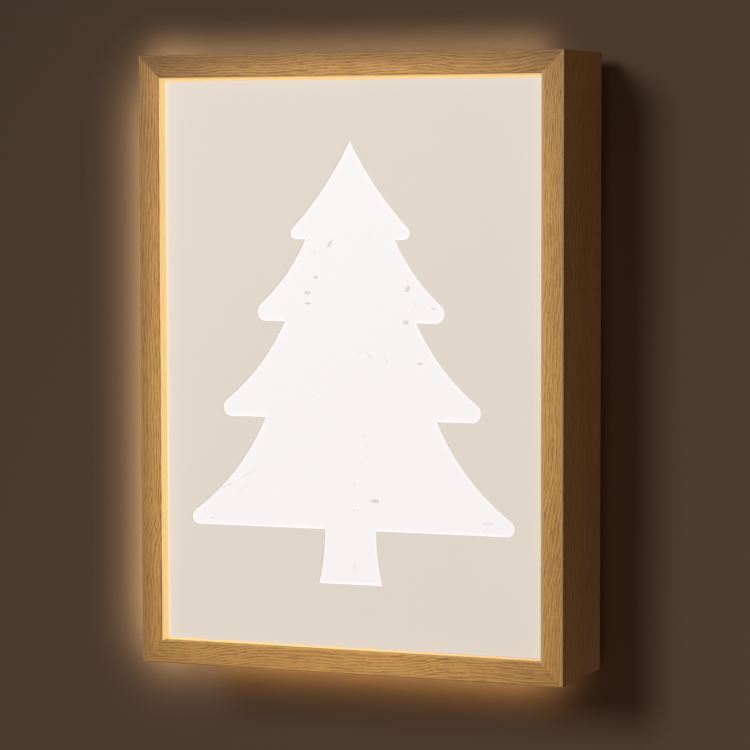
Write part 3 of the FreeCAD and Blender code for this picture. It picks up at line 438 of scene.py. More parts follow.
# %% Four oak boards
oak_boards = {
    "top_board": oak("oak_top", "x", 1.0, slope=-0.018, shade=0.50, ends=0.58, lean=0.008),
    "bottom_board": oak("oak_bottom", "x", 2.0, slope=0.045, shade=0.06, ends=0.34, lit=0.12),
    "side_board_left": oak("oak_left", "z", 3.0, slope=0.018, shade=0.50, ends=0.18, lean=-0.018, lit=0.66),
    "side_board_right": oak("oak_right", "z", 4.0, slope=-0.07, shade=0.24, ends=0.22, lean=-0.012,
                            wear_and_highlight=0.6, inner_lit=0.75),
}
for material in oak_boards.values():
    print(material.name, "has", len(material.node_tree.nodes), "nodes")


def dress(material, *nodes):
    """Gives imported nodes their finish, in every material slot that they have."""
    for node in nodes:
        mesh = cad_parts[node].data
        if not mesh.materials:
            mesh.materials.append(material)
        for index in range(len(mesh.materials)):
            mesh.materials[index] = material
    print(material.name, "on", ", ".join(nodes))


for node, material in oak_boards.items():
    dress(material, node)

# %% [markdown]
# ## Softwood and plywood
#
# The hidden blocks, battens and cleat are planed pine: pale, with wide soft rings and no pores. The back
# is birch plywood, whose faces have faint cloudy figure, and whose edges show three layers as stripes
# across its thickness. The layers lie at real depths, so the stripes come from the y axis.


# %% Pine
PINE_YEAR = 0.0034


def pine(name, along, seed):
    """Planed softwood with its grain along x or z."""
    finish = Finish(name, specular=0.3)
    length, width, y, board = along_grain(finish, along, (seed * 0.41, seed * 0.23, seed * 0.61))
    drift = noise(finish, (0.03, 0.03, 0.12), detail=1.0, at=board) - 0.5
    ring = fraction((width * 0.8 + y + drift * 0.012) / PINE_YEAR + seed)
    late = ramp(ring, [(0.0, 0.0), (0.45, 0.12), (0.80, 0.62), (0.94, 1.0), (1.0, 0.0)])
    fibre = noise(finish, (0.0005, 0.0005, 0.03), at=board)
    tone = late * 0.7 + (fibre - 0.5) * 0.5
    colour = blend(tone, screen(222, 190, 144), screen(176, 128, 76))
    return finish.surface(colour, 0.66 + (fibre - 0.5) * 0.2, fibre + late * 0.4, 0.00005)


pine_across = pine("pine_across", "x", 5.0)
pine_upright = pine("pine_upright", "z", 6.0)
dress(pine_across, "hanging_rail", "wall_cleat", "bottom_batten")
dress(pine_upright, "side_batten_left", "side_batten_right", "corner_block_top_left",
      "corner_block_top_right", "corner_block_bottom_left", "corner_block_bottom_right")


# %% Plywood
def birch_plywood():
    finish = Finish("birch_plywood", specular=0.3)
    y = axes_of(finish)[1]
    low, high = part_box("back_panel")
    ply = (high.y - low.y) / 3
    middle = step(abs(y - (low.y + high.y) / 2), ply * 0.52, ply * 0.48)
    cloud = noise(finish, (0.012, 0.05, 0.09), detail=3.0)
    fibre = noise(finish, (0.0005, 0.0005, 0.02))
    scattered = stretched(finish, None, (0.07, 0.3, 0.11))
    knots = finish.node("ShaderNodeTexVoronoi", None, {"Vector": scattered, "Scale": 1.0})
    pin = step(knots, 0.035, 0.012)
    tone = (cloud - 0.35) * 0.9 + (fibre - 0.5) * 0.5
    face = blend(tone, screen(226, 200, 160), screen(190, 152, 104))
    face = blend(pin * 0.7, face, screen(120, 78, 44))
    colour = blend(middle * 0.55, face, screen(164, 120, 76))
    return finish.surface(colour, 0.62 + (fibre - 0.5) * 0.2, fibre, 0.00004)


dress(birch_plywood(), "back_panel")

# %% [markdown]
# ## The picture: card, paper and opal sheet
#
# The picture is matt beige card with a window, and near-white paper shows through it. Both are lit from
# behind, so each finish is part reflection and part a faint light of its own. The opal sheet behind them
# shows only in the margin, where the lamp's light comes straight through: that is the bright line.


# %% Card
def matt_card():
    finish = Finish("beige_card", specular=0.25, Emission_Strength=1.0)
    tooth = noise(finish, 0.0005, detail=3.0, roughness=0.6)
    cloud = noise(finish, 0.05)
    tone = (tooth - 0.5) * 0.25 + (cloud - 0.5) * 0.20 + 0.5
    # The window's cut edges glow like the card's face: painted light that takes away their shade.
    side = finish.node("ShaderNodeNewGeometry", output="Normal")
    cut_edge = 1.0 - step(abs(axes_of(finish, side)[1]), 0.3, 0.7)
    # Painted light: the card is brighter along its left edge, which lifts the frame's shadow there.
    from_left = axes_of(finish)[0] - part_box("art_panel")[0].x
    spill = step(from_left, 0.0012, 0.0002)
    face_glow = blend(tone, screen(153, 144, 134), screen(149, 139, 129))
    face_glow = blend(spill * 0.5, face_glow, screen(190, 178, 160))
    finish.give("Emission Color", blend(cut_edge, face_glow, screen(170, 161, 151)))
    colour = blend(tone, screen(180, 174, 166), screen(175, 168, 160))
    return finish.surface(colour, 0.82 + (tooth - 0.5) * 0.1, tooth, 0.00002)


dress(matt_card(), "art_panel")


# %% Paper
def flecked_paper():
    finish = Finish("flecked_paper", specular=0.2, Emission_Strength=1.0)
    pulp = noise(finish, 0.0016, detail=4.0, roughness=0.6)
    cloud = noise(finish, 0.014)
    sockets = {0: finish.place, "Angle": 0.7}
    turned = finish.node("ShaderNodeVectorRotate", {"rotation_type": "Y_AXIS"}, sockets)
    threads = noise(finish, (0.0004, 0.0004, 0.0050), detail=1.0, at=turned)
    thread = step(threads * step(cloud, 0.45, 0.6), 0.66, 0.72)
    tone = (pulp - 0.5) * 0.6 + 0.5
    white = blend(tone, screen(193, 192, 193), screen(187, 186, 187))
    colour = blend(thread * 0.35, white, screen(168, 166, 163))
    glow = blend(tone, screen(179, 171, 170), screen(174, 167, 165))
    finish.give("Emission Color", blend(thread * 0.4, glow, screen(148, 144, 142)))
    return finish.surface(colour, 0.85 + (pulp - 0.5) * 0.1, pulp, 0.00003)


dress(flecked_paper(), "tree_paper")


# %% Opal sheet
def opal_sheet():
    finish = Finish("lit_opal", Roughness=0.35, Emission_Strength=1.0)
    cloud = noise(finish, 0.03)
    tone = (cloud - 0.5) * 0.5 + 0.5
    x, _, z = axes_of(finish)
    sheet_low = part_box("opal_diffuser")[0].z
    corner = step(x, -0.02, 0.11) * step(z, sheet_low + 0.012, sheet_low + 0.006)
    finish.give("Base Color", blend(tone, screen(140, 124, 98), screen(134, 118, 92)))
    light = blend(tone, (0.80, 0.53, 0.205), (0.77, 0.51, 0.195))
    finish.give("Emission Color", blend(corner * 0.45, light, (0.40, 0.25, 0.10)))
    return finish.material


dress(opal_sheet(), "opal_diffuser")

# %% [markdown]
# ## Moulded plastic, rubber, lacquer and metal
#
# The remaining finishes are quick to tell apart by three things: colour, how evenly they shine, and what
# use has done to them. Moulded plastic has a fine orange-peel, lacquer a few dust pips, rubber a dull
# bloom, and metal the lines of its drawing or plating. One function makes all the moulded ones, one the
# metals, and both take their scale in metres. The light sources glow, apart from those on the right: the
# picture shows no glow on that side, so that strip is dark.


# %% Moulded finishes
def moulded(name, colour, wear_and_highlight, roughness, grain=0.0006, depth=0.00002, specular=0.5):
    """Plastic or rubber: fine orange-peel, cloudy bloom and slightly varied shine.

    Colour and worn are screen colours. Grain is the pitch of the orange-peel and depth how deep it is.
    """
    finish = Finish(name, specular=specular)
    peel = noise(finish, grain)
    bloom = noise(finish, 0.011, detail=3.0)
    scuff = step(bloom, 0.56, 0.72)
    mixed = blend(scuff * 0.5 + (peel - 0.5) * 0.3, screen(*colour), screen(*wear_and_highlight))
    return finish.surface(mixed, roughness + (peel - 0.5) * 0.12 + scuff * 0.12, peel, depth)


white_lacquer = moulded("white_lacquer", (232, 232, 229), (220, 220, 216), 0.35, grain=0.0012)
solder_mask = moulded("white_solder_mask", (238, 238, 234), (224, 224, 218), 0.32, grain=0.0008)
driver_shell = moulded("driver_shell", (228, 228, 224), (208, 207, 201), 0.48, grain=0.0009, depth=0.00005)
nylon = moulded("nylon", (222, 221, 212), (203, 202, 192), 0.40)
rubber = moulded("black_rubber", (34, 34, 35), (62, 61, 60), 0.72, depth=0.00004, specular=0.3)
black_plastic = moulded("black_plastic", (22, 22, 23), (44, 44, 45), 0.30)
lead_sleeve = moulded("white_flat_lead", (226, 225, 220), (206, 204, 198), 0.42)

dress(white_lacquer, "led_plate")
dress(driver_shell, "led_driver")
dress(nylon, "terminal_block")
dress(rubber, "cable_grommet")
dress(black_plastic, "switch_housing", "switch_button")
dress(lead_sleeve, "led_lead", "glow_leads", "glow_links", "bar_links")
dress(solder_mask, *(f"led_bar_{number}" for number in range(1, 5)))
dress(solder_mask, *(f"glow_strip_{side}" for side in ("top", "bottom", "left", "right")))


# %% Metals
def metal(name, colour, tarnish, roughness, pitch):
    """Drawn or plated metal with fine lines at the given pitches. Colour and tarnish are screen colours."""
    finish = Finish(name, Metallic=1.0)
    lines = noise(finish, pitch)
    bloom = noise(finish, 0.006, detail=3.0)
    dull = step(bloom, 0.50, 0.75)
    mixed = blend(dull * 0.6 + (lines - 0.5) * 0.3, screen(*colour), screen(*tarnish))
    return finish.surface(mixed, roughness + (lines - 0.5) * 0.15 + dull * 0.15, lines, 0.00001)


brass = metal("satin_brass", (214, 178, 104), (160, 122, 66), 0.32, (0.0002, 0.0002, 0.012))
zinc = metal("bright_zinc", (206, 207, 208), (164, 164, 162), 0.30, 0.0004)
nickel = metal("nickel_plate", (200, 196, 188), (158, 152, 142), 0.20, (0.0008, 0.0008, 0.0002))
dress(brass, "turn_button_left", "turn_button_right")
dress(nickel, "switch_nut")
dress(zinc, "plate_screws", "driver_screws", "rail_screws", "turn_button_screws")


# %% Light sources
def phosphor(name, dark_from):
    """The yellow face of a light source, which glows up to the x at which the dark ones start."""
    finish = Finish(name, Roughness=0.25, Emission_Strength=4.0)
    grit = noise(finish, 0.0003)
    finish.give("Base Color", blend(grit, screen(250, 214, 110), screen(238, 190, 84)))
    glow = blend(grit, (1.0, 0.74, 0.36), (1.0, 0.66, 0.27))
    unlit = step(axes_of(finish)[0], dark_from, dark_from + 0.0005)
    finish.give("Emission Color", blend(unlit, glow, UNLIT))
    return finish.material


dress(phosphor("lit_phosphor", box_high.x), "led_chips")
dress(phosphor("lit_phosphor_rear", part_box("glow_strip_right")[0].x), "glow_chips")


# %% Wire sleeves
def wire_sleeves(name, middle_x):
    """Two round wires side by side: blue to the left of the middle and brown to its right."""
    finish = Finish(name)
    brown = step(axes_of(finish)[0], middle_x - 0.0001, middle_x + 0.0001)
    peel = noise(finish, 0.0008)
    tint = blend(brown, screen(52, 92, 170), screen(112, 66, 38))
    colour = blend((peel - 0.4) * 0.4, tint, screen(150, 150, 156))
    return finish.surface(colour, 0.38 + (peel - 0.5) * 0.2, peel, 0.00002)


for node in ("driver_wires", "switch_wires"):
    low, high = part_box(node)
    dress(wire_sleeves(node + "_sleeves", (low.x + high.x) / 2), node)

# %% [markdown]
# ## Flecks and fibres in the paper
#
# The white paper is made from pulp with bits of plant left in it: grey flecks as long as a grain of rice
# and hair-thin fibres. They could be painted in the finish, but the larger ones have places of their own
# in the picture, so they are small flakes that lie on the sheet. Each is a flat, uneven oval with a
# rounded edge, and the fibres are bent slivers. The list gives, in millimetres, the middle across and
# up, the length, the width, and the slope in degrees.

# %% Measures of the flecks
FLECKS = [
    (-11.3, -40.5, 5.3, 1.5, 58), (-19.3, -58.1, 2.9, 1.5, 1), (-24.0, -66.3, 4.2, 1.8, 1),
    (-24.0, -71.8, 3.4, 1.2, 1), (32.2, -63.7, 4.0, 2.2, 56), (31.2, -81.0, 3.4, 2.3, 5),
    (46.5, -73.7, 2.3, 1.2, -12), (39.0, -102.1, 3.3, 1.2, 1), (14.0, -174.6, 4.6, 2.2, -2),
    (2.1, -166.5, 1.0, 0.7, 2), (2.2, -179.9, 1.1, 0.8, 2), (-79.3, -186.8, 1.9, 0.9, 2),
]
FIBRES = [
    (10.7, -98.6, 5.0, 0.50, -50), (-58.3, -162.4, 10.9, 0.25, 31), (-70.4, -169.4, 6.2, 0.40, 27),
    (76.3, -184.1, 7.9, 0.55, 2), (2.4, -210.0, 7.6, 0.35, -90), (36.0, -72.0, 5.5, 0.22, 64),
    (-20.5, -45.5, 4.5, 0.20, 40), (-62.0, -171.0, 7.0, 0.20, 33), (20.5, -100.5, 4.0, 0.20, -45),
]
FLAKE_THICK = 0.00008
FLAKE_POINTS = 22
FLAKE_CREST = 0.72
paper_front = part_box("tree_paper")[0].y
for kind, rows in {"fleck": FLECKS, "fibre": FIBRES}.items():
    print("longest", kind, max(row[2] for row in rows), "mm")


# %% Shape the flecks
def band(shape, upper, lower):
    """Joins two rings of points with a band of faces."""
    for index in range(len(upper)):
        after = (index + 1) % len(upper)
        shape.faces.new((upper[index], lower[index], lower[after], upper[after]))


def flake(shape, chance, x, z, long_side, short_side, slope, bend=0.0):
    """Adds one flat flake: an uneven oval with a lower rim, that may be bent sideways."""
    turn = math.radians(slope)
    rim, crest = [], []
    for index in range(FLAKE_POINTS):
        angle = math.tau * index / FLAKE_POINTS
        uneven = 1.0 + chance.uniform(-0.12, 0.12)
        along = math.cos(angle) * long_side / 2 * uneven
        beside = math.sin(angle) * short_side / 2 * uneven + bend * (1 - (2 * along / long_side) ** 2)
        for ring, share, rise in ((rim, 1.0, 0.0), (crest, FLAKE_CREST, FLAKE_THICK)):
            u, v = along * share, beside * share
            place = (x + u * math.cos(turn) - v * math.sin(turn), paper_front - rise,
                     z + u * math.sin(turn) + v * math.cos(turn))
            ring.append(shape.verts.new(place))
    shape.faces.new(crest)
    shape.faces.new(list(reversed(rim)))
    band(shape, crest, rim)


def link(name, mesh, body, material, matrix=None):
    """Puts a mesh into the scene, on its body and with its finish, and at a matrix if it has one."""
    piece = add_object(name, mesh)
    if matrix is not None:
        piece.matrix_world = matrix
    if not mesh.materials:
        mesh.materials.append(material)
    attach(piece, body)
    return piece


def mesh_of(shape, name, outward=False, smooth=False):
    """Turns a shape into a mesh. Outward turns its faces out first."""
    if outward:
        bmesh.ops.recalc_face_normals(shape, faces=shape.faces[:])
    mesh = bpy.data.meshes.new(name)
    shape.to_mesh(mesh)
    shape.free()
    if smooth:
        mesh.shade_smooth()
    return mesh


def fleck_finish():
    finish = Finish("plant_flecks", specular=0.2, Emission_Strength=0.85)
    speckle = noise(finish, 0.0006, detail=3.0)
    tone = (speckle - 0.5) * 1.2 + 0.5
    finish.give("Emission Color", blend(tone, screen(172, 169, 169), screen(150, 148, 148)))
    colour = blend(tone, screen(184, 182, 181), screen(160, 158, 157))
    return finish.surface(colour, 0.8 + (speckle - 0.5) * 0.2, speckle, 0.00002)


chance = random.Random(7)
flecks = bmesh.new()
for *lengths, slope in FLECKS:
    flake(flecks, chance, *(length / 1000 for length in lengths), slope)
for *lengths, slope in FIBRES:
    bend = chance.uniform(-0.0004, 0.0004)
    flake(flecks, chance, *(length / 1000 for length in lengths), slope, bend)
flecks_mesh = mesh_of(flecks, "paper_flecks", outward=True)
paper_flecks = link("paper_flecks", flecks_mesh, "lamp", fleck_finish())
print(paper_flecks.name, len(FLECKS), "flecks and", len(FIBRES), "fibres")

# %% [markdown]
# ## Felt pads
#
# Two pads keep the lower edge off the wall. Pressed felt has no crisp edges: it is a block with soft
# shoulders and a nap of loose fibres. A block could be rounded with a modifier, but the nap needs many
# small faces anyway, so the pad is cut into a fine grid, its shoulders are rounded in code, and every
# vertex is pushed a little by noise, apart from the face that is glued to the batten.

# %% Felt
from mathutils import noise as field

SHOULDER = 0.0009
NAP = 0.00016
NAP_WAVES = (2600.0, 6200.0)
FELT_CUTS = 23


def felt_finish():
    finish = Finish("pressed_felt", Sheen_Weight=0.6, Sheen_Roughness=0.5, specular=0.1)
    nap = noise(finish, 0.00035, detail=4.0, roughness=0.7)
    clump = noise(finish, 0.0022)
    tone = (nap - 0.5) * 1.2 + (clump - 0.5) * 0.6 + 0.5
    colour = blend(tone, screen(148, 143, 137), screen(108, 103, 98))
    return finish.surface(colour, 0.92 + (nap - 0.5) * 0.1, nap, 0.00015)


def felt_pad(name, node, material):
    """A pad with soft shoulders that fills its node's box."""
    low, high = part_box(node)
    centre, half = (low + high) / 2, (high - low) / 2
    shape = bmesh.new()
    bmesh.ops.create_cube(shape, size=2.0)
    bmesh.ops.subdivide_edges(shape, edges=shape.edges[:], cuts=FELT_CUTS, use_grid_fill=True)
    for vertex in shape.verts:
        point = Vector(vertex.co[axis] * (half[axis] - NAP) for axis in range(3))
        core = Vector(max(-(half[axis] - NAP - SHOULDER), min(half[axis] - NAP - SHOULDER, point[axis]))
                      for axis in range(3))
        away = point - core
        if away.length > 1e-9:
            point = core + away.normalized() * SHOULDER
        glued = vertex.co.y < -0.999
        rough = field.noise(point * NAP_WAVES[0]) + 0.5 * field.noise(point * NAP_WAVES[1])
        point += away.normalized() * (0.0 if glued else rough * NAP * 0.6)
        if glued:
            point.y = -half.y
        vertex.co = centre + point
    pad = link(name, mesh_of(shape, name, smooth=True), "lamp", material)
    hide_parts(node)
    return pad


felt = felt_finish()
for side in ("left", "right"):
    pad = felt_pad(f"felt_pad_{side}", f"felt_bumper_{side}", felt)
    print(pad.name, len(pad.data.polygons), "faces")

# %% [markdown]
# ## Screws
#
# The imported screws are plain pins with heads. A real one has a thread and a cross recess, and both catch
# the light. The thread could be a spiral curve round a pin, but then the two only touch. Here the shank
# is one skin: rings of points whose radius follows the thread's ridge, which climbs by one pitch a turn.
# The head is a dome of rings, pressed in where the cross is.


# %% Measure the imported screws
SCREW_OF = {"plate_screws": "plate_screw", "driver_screws": "driver_screw", "rail_screws": "rail_screw",
            "turn_button_screws": "pivot_screw"}


def islands(node):
    """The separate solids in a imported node, each as its lowest and highest corner and its points."""
    shape = bmesh.new()
    shape.from_mesh(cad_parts[node].data)
    bmesh.ops.remove_doubles(shape, verts=shape.verts[:], dist=1e-6)
    found, seen = [], set()
    for start in shape.verts:
        if start.index in seen:
            continue
        todo, points = [start], []
        seen.add(start.index)
        while todo:
            vertex = todo.pop()
            points.append(vertex.co.copy())
            for edge in vertex.link_edges:
                other = edge.other_vert(vertex)
                if other.index not in seen:
                    seen.add(other.index)
                    todo.append(other)
        low, high = (Vector(pick(p[axis] for p in points) for axis in range(3)) for pick in (min, max))
        found.append((low, high, points))
    shape.free()
    return found


def head_of(low, high, points):
    """Radius and height of the head, radius of the shank, and +1 if the head is at the higher y."""
    centre = (low + high) / 2
    widest = (high.x - low.x) / 2
    reach = {}
    for point in points:
        radius = Vector((point.x - centre.x, 0.0, point.z - centre.z)).length
        reach.setdefault(round(point.y, 5), []).append(radius)
    rims = {y: max(radii) for y, radii in reach.items()}
    head = [y for y, radius in rims.items() if radius > widest * 0.7]
    end = 1 if abs(max(head) - high.y) < abs(min(head) - low.y) else -1
    shank = min(radius for radius in rims.values() if radius > 0.0003)
    return widest, max(head) - min(head), shank, end


for node in SCREW_OF:
    solids = islands(node)
    measures = head_of(*solids[0])[:3]
    print(node, len(solids), "head and shank in mm:", [round(value * 1000, 2) for value in measures])


# %% Shape one screw
THREAD_PITCH = 0.0012
THREAD_DEPTH = 0.24
POINT_LENGTH = 0.003
CROSS_SLOPE = 0.00018
CROWN_SHARES = (0.06, 0.13, 0.20, 0.27, 0.34, 0.41, 0.48, 0.55)
RIM_DEGREES = (62, 48, 34, 20, 8, 0)
AROUND = 40


def screw_rows(head_radius, head_height, shank_radius, length):
    """Rings of (radius, height over the seat) from the crown's rim down to the tip. None is the thread."""
    angles = [math.radians(degrees) for degrees in RIM_DEGREES]
    rows = [(head_radius * math.cos(angle), head_height * math.sin(angle)) for angle in angles]
    rows += [(head_radius, 0.0), (head_radius * 0.97, -0.00001), (shank_radius * 1.02, -0.00002)]
    depth = 0.0002
    while depth < length - 0.0001:
        rows.append((None, -depth))
        depth += THREAD_PITCH / 8
    return rows


def in_cross(across, along, arm, blade):
    """1 deep inside the cross recess, 0 outside it, with a narrow slope between."""
    across, along = abs(across), abs(along)
    inside = max(min(blade - across, arm - along), min(blade - along, arm - across))
    return max(0.0, min(1.0, inside / CROSS_SLOPE + 0.5))


def screw_mesh(name, head_radius, head_height, shank_radius, length):
    """A pan-head screw with its seat at the origin and its point along -z."""
    shape = bmesh.new()
    arm, blade, recess = head_radius * 0.52, head_radius * 0.13, head_height * 0.75
    rings = []
    crown = [(head_radius * share, None) for share in CROWN_SHARES]
    for radius, level in crown + screw_rows(head_radius, head_height, shank_radius, length):
        ring = []
        for index in range(AROUND):
            angle = math.tau * index / AROUND
            if radius is None:
                taper = min(1.0, (length + level) / POINT_LENGTH + 0.12)
                climb = (-level / THREAD_PITCH - angle / math.tau) % 1.0
                ridge = 1.0 - abs(climb - 0.5) * 2
                reach = shank_radius * taper * (1.0 - THREAD_DEPTH + THREAD_DEPTH * ridge ** 1.5)
                point = Vector((reach * math.cos(angle), reach * math.sin(angle), level))
            else:
                point = Vector((radius * math.cos(angle), radius * math.sin(angle), level or 0.0))
                if level is None:
                    point.z = head_height * math.sqrt(1 - (radius / head_radius) ** 2)
                    point.z -= recess * in_cross(point.x, point.y, arm, blade)
            ring.append(shape.verts.new(point))
        rings.append(ring)
    middle = shape.verts.new((0.0, 0.0, head_height - recess))
    tip = shape.verts.new((0.0, 0.0, -length))
    for index in range(AROUND):
        after = (index + 1) % AROUND
        shape.faces.new((middle, rings[0][index], rings[0][after]))
        shape.faces.new((tip, rings[-1][after], rings[-1][index]))
    for upper, lower in zip(rings, rings[1:]):
        band(shape, upper, lower)
    return mesh_of(shape, name, smooth=True)


print("a screw has", AROUND, "points to a ring and", round(0.01 / THREAD_PITCH, 1), "turns to 10 mm")

# %% Put the screws in
for node, kind in SCREW_OF.items():
    solids = islands(node)
    head_radius, head_height, shank_radius, end = head_of(*solids[0])
    length = solids[0][1].y - solids[0][0].y - head_height
    mesh = screw_mesh(kind, head_radius, head_height, shank_radius, length)
    for number, (low, high, points) in enumerate(solids, 1):
        centre = (low + high) / 2
        seat = high.y - head_height if end > 0 else low.y + head_height
        turned = random.Random(number + len(node)).uniform(0.0, 90.0)
        matrix = (Matrix.Translation((centre.x, seat, centre.z))
                  @ Matrix.Rotation(math.radians(-90.0 * end), 4, "X")
                  @ Matrix.Rotation(math.radians(turned), 4, "Z"))
        screw = link(f"{kind}_{number}", mesh, "lamp", zinc, matrix)
        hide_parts(node)
    print(kind, len(solids), "pieces of", len(mesh.polygons), "faces")

# %% [markdown]
# ## Resistors and solder pads
#
# Between its light sources a light strip has small parts of its own: a resistor for each group of three,
# and a pair of tinned pads where the strip may be cut between groups. They could be drawn in the strip's
# finish, but they stand proud and catch the light, so they are shaped. Every strip has the same layout,
# so one function lays it out flat, and a matrix puts it on each strip's outer face.

# %% Find the strips' outer faces
OUTWARD = {"top": Vector((0, 0, 1)), "bottom": Vector((0, 0, -1)), "left": Vector((-1, 0, 0)),
           "right": Vector((1, 0, 0))}
source_middles = [(low + high) / 2 for low, high, points in islands("glow_chips")]


def outer_face(side):
    """A strip's outer face, as a matrix whose x runs along the strip and whose z points away from it."""
    low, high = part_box(f"glow_strip_{side}")
    outward = OUTWARD[side]
    along = Vector((1, 0, 0)) if outward.x == 0 else Vector((0, 0, 1))
    thick = abs((high - low).dot(outward))
    turned = Matrix((along, outward.cross(along), outward)).transposed().to_4x4()
    return Matrix.Translation((low + high) / 2 + outward * thick / 2) @ turned


def sources_along(face):
    """How far along its strip each light source sits, in order."""
    local = [face.inverted() @ middle for middle in source_middles]
    return sorted(point.x for point in local if abs(point.y) < 0.001 and abs(point.z) < 0.001)


for side in OUTWARD:
    print(side, "strip:", len(sources_along(outer_face(side))), "light sources")


# %% Shape the small parts
RESISTOR = Vector((0.0016, 0.0008, 0.00045))
CAP = Vector((0.00038, 0.00086, 0.00050))
PAD = (0.0011, 0.0018, 0.00006)
GROUP = 3
RESISTOR_ASIDE = 0.0012
PAD_ASIDE = 0.0017
HALF_CUT = 0.00015


def block(shape, face, place, size, rounding):
    """Adds a block with rounded edges that stands on the face."""
    centre = Vector((place[0], place[1], size.z / 2))
    matrix = face @ Matrix.Translation(centre) @ Matrix.Diagonal((*size, 1.0))
    made = bmesh.ops.create_cube(shape, size=1.0, matrix=matrix)
    edges = list({edge for vertex in made["verts"] for edge in vertex.link_edges})
    bmesh.ops.bevel(shape, geom=edges, offset=rounding, segments=2, affect="EDGES")


def solder_pad(shape, face, place, facing):
    """Adds a thin pad with one straight end, at the cut, and one round end that points along facing."""
    length, width, thick = PAD
    outline = [(0.0, -width / 2), (0.0, width / 2)]
    for turn in range(0, 181, 20):
        angle = math.radians(90 - turn)
        outline.append((length - width / 2 + math.cos(angle) * width / 2, math.sin(angle) * width / 2))
    upper, lower = (
        [shape.verts.new(face @ Vector((place[0] + facing * u, place[1] + v, height))) for u, v in outline]
        for height in (thick, 0.0)
    )
    shape.faces.new(upper)
    shape.faces.new(lower)
    band(shape, upper, lower)


print("resistor:", [round(value * 1000, 2) for value in RESISTOR], "mm")

# %% Lay them out on every strip
bodies, contacts = bmesh.new(), bmesh.new()
count = 0
for side in OUTWARD:
    face = outer_face(side)
    sources = sources_along(face)
    for gap, (here, after) in enumerate(zip(sources, sources[1:])):
        middle = (here + after) / 2
        if gap % GROUP == GROUP - 1:
            for facing in (-1, 1):
                for aside in (-PAD_ASIDE, PAD_ASIDE):
                    solder_pad(contacts, face, (middle + facing * HALF_CUT, aside), facing)
        elif gap % GROUP == 0:
            block(bodies, face, (middle, RESISTOR_ASIDE), RESISTOR, 0.00006)
            for end in (-1, 1):
                cap_middle = middle + end * (RESISTOR.x - CAP.x) / 2
                block(contacts, face, (cap_middle, RESISTOR_ASIDE), CAP, 0.00008)
            count += 1

tinned = metal("tinned_copper", (214, 200, 176), (176, 142, 98), 0.28, 0.0003)
resistor_body = moulded("resistor_body", (38, 38, 42), (58, 58, 62), 0.42, grain=0.0003)
small_parts = {"strip_resistors": (bodies, resistor_body), "strip_contacts": (contacts, tinned)}
for name, (shape, material) in small_parts.items():
    link(name, mesh_of(shape, name, outward=True), "lamp", material)
print("strip_resistors", count, "resistors, strip_contacts with caps and pads")

# %% [markdown]
# ## The stage
#
# The lamp is shown on a plain ground in soft light. The floor is pale and far enough below to stay out of
# the picture. The wall behind the lamp is there to show its glow. It has painted light on it: it gets a
# little paler towards the lower right. Both could be left out for a look from behind or below, but it is
# simpler to paint them on one side only: the back of each is clear. The wall casts no shadow either, so
# the lamp's back can be seen as if it were taken down.


# %% Floor and wall
FLOOR_LEVEL = -0.75
FLOOR_HALF = 6.0
WALL_FACE = 0.0006
WALL_HALF = 3.0
WALL_TOP = 2.2
ROUND_A_SQUARE = ((-1, -1), (1, -1), (1, 1), (-1, 1))


def stage_plane(name, corners, material):
    """A flat ground with four corners, which isn't part of the lamp."""
    shape = bmesh.new()
    shape.faces.new([shape.verts.new(corner) for corner in corners])
    plane = add_object(name, mesh_of(shape, name))
    plane.data.materials.append(material)
    return plane


def plain_paint(name, colour, drift=(0.0, 0.0), level=0.5):
    """Rolled matt paint on the side that the plane faces, and nothing on the other.

    Drift is how fast painted light pales the paint along x and z, and level how pale it is at the origin.
    """
    finish = Finish(name, specular=0.1)
    x, _, z = axes_of(finish)
    roller = noise(finish, 0.004)
    # Painted light: the drift makes the paint paler towards the lower right; the roller's marks are the
    # paint's own.
    roller_and_light = x * drift[0] + z * drift[1] + (roller - 0.5) * 0.05 + level
    thick, thin = (tuple(value * share for value in colour) for share in (0.7, 1.3))
    finish.give("Base Color", blend(roller_and_light, thick, thin))
    finish.give("Roughness", 0.85 + (roller - 0.5) * 0.05)
    behind = finish.node("ShaderNodeNewGeometry", output="Backfacing")
    clear = finish.node("ShaderNodeBsdfTransparent")
    solid = Socket(finish, finish.shader.outputs[0])
    either = finish.node("ShaderNodeMixShader", None, {0: behind, 1: solid, 2: clear})
    finish.feed(finish.tree.nodes["Material Output"].inputs["Surface"], either)
    return finish.material


floor_corners = [(x * FLOOR_HALF, y * FLOOR_HALF, FLOOR_LEVEL) for x, y in ROUND_A_SQUARE]
wall_corners = [(x * WALL_HALF, WALL_FACE, WALL_TOP if z > 0 else FLOOR_LEVEL) for x, z in ROUND_A_SQUARE]
floor_paint = plain_paint("pale_floor", screen(214, 210, 204))
wall_paint = plain_paint("wall_paint", screen(76, 58, 44), drift=(0.79, -0.92), level=0.36)
floor = stage_plane("floor", floor_corners, floor_paint)
wall = stage_plane("wall", wall_corners, wall_paint)
wall.visible_shadow = wall.visible_diffuse = wall.visible_glossy = False
floor.visible_diffuse = False
print("stage:", floor.name, wall.name)

# %% [markdown]
# ## Light
#
# The shadow on the wall tells where the main light stands. The front of the box is 78 mm off the wall,
# and its shadow lies some 23 mm to the right and a little further down, with an edge that is 20 mm soft.
# So a soft box of under a metre stands not quite three metres away, to the left and above. A wide, dim and
# warmer light near the camera opens the shadows, and a dim even sky does the rest. A last light behind the
# wall is for looking at the lamp's back.


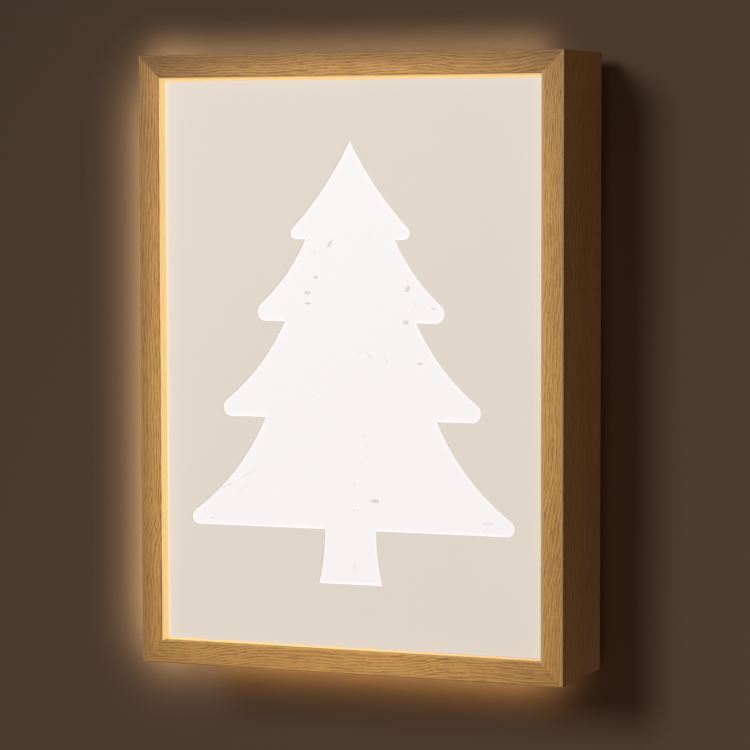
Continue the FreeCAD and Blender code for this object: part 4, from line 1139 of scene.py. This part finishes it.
# %% Studio light
def soft_light(name, place, target, side, power, colour):
    """A square soft box that faces its target."""
    data = bpy.data.lights.new(name, "AREA")
    data.shape = "RECTANGLE"
    data.size = data.size_y = side
    data.energy = power
    data.color = colour
    light = add_object(name, data)
    light.location = place
    light.rotation_mode = "QUATERNION"
    light.rotation_quaternion = (Vector(target) - Vector(place)).to_track_quat("-Z", "Z")
    return light


lamp_middle = (box_low + box_high) / 2
soft_light("key_light", (-0.74, -2.58, 0.82), lamp_middle, 0.8, 70.5, (0.84, 0.94, 1.0))
soft_light("fill_light", (0.45, -3.0, 0.0), lamp_middle, 1.2, 17.5, (1.0, 0.76, 0.62))
soft_light("rear_light", (-1.7, 2.3, 1.0), lamp_middle, 1.4, 60.0, (1.0, 0.98, 0.95))
sky = bpy.data.worlds.new("studio")
scene.world = sky
sky.use_nodes = True
sky.node_tree.nodes["Background"].inputs["Color"].default_value = (1.0, 0.70, 0.50, 1.0)
sky.node_tree.nodes["Background"].inputs["Strength"].default_value = 0.10
print("three soft lights and a sky")

# %% [markdown]
# ## Glow on the wall
#
# The real strips sit behind the box and light the wall round it, and the picture shows how far that glow
# reaches on the left, above and below. Light that bounces out of a narrow gap is slow to work out and
# comes out grainy. So the reach of each glow is given: a slim light, unseen by the camera, runs
# along each of the three sides, faces the wall and lights nothing else, and its spread ends the glow where
# the picture ends it. The lights ride with the lamp.

# %% Slim lights
GLOW_WIDTH = 0.004
WARM = (1.0, 0.93, 0.68)
AMBER = (1.0, 0.77, 0.40)

only_wall = bpy.data.collections.new("only_wall")
only_wall.objects.link(wall)


def glow_light(name, start, end, per_metre, colour, reach):
    """A slim light from start to end that faces the wall. Reach is how far its glow gets on the wall."""
    along = end - start
    light = soft_light(name, (start + end) / 2, start, GLOW_WIDTH, per_metre * along.length, colour)
    facing = Vector((0.0, -1.0, 0.0))
    axis = along.normalized()
    light.rotation_quaternion = Matrix((axis, facing.cross(axis), facing)).transposed().to_quaternion()
    light.data.size = along.length
    light.data.spread = 2 * math.atan(reach / -start.y)
    light.visible_camera = False
    light.light_linking.receiver_collection = only_wall
    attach(light, "lamp")
    return light


left, above, below = box_low.x - 0.020, box_high.z + 0.002, box_low.z - 0.002
for name, off_wall, start, end, per_metre, colour, reach in (
    ("glow_left", 0.025, (left, box_low.z - 0.006), (left, box_high.z - 0.013), 1.45, WARM, 0.053),
    ("glow_top", 0.020, (box_low.x - 0.030, above), (box_high.x - 0.034, above), 0.195, WARM, 0.022),
    ("glow_bottom", 0.020, (box_low.x + 0.002, below), (box_high.x - 0.032, below), 0.74, AMBER, 0.042),
):
    ends = [Vector((x, -off_wall, z)) for x, z in (start, end)]
    print(glow_light(name, *ends, per_metre, colour, reach).name, "lit")
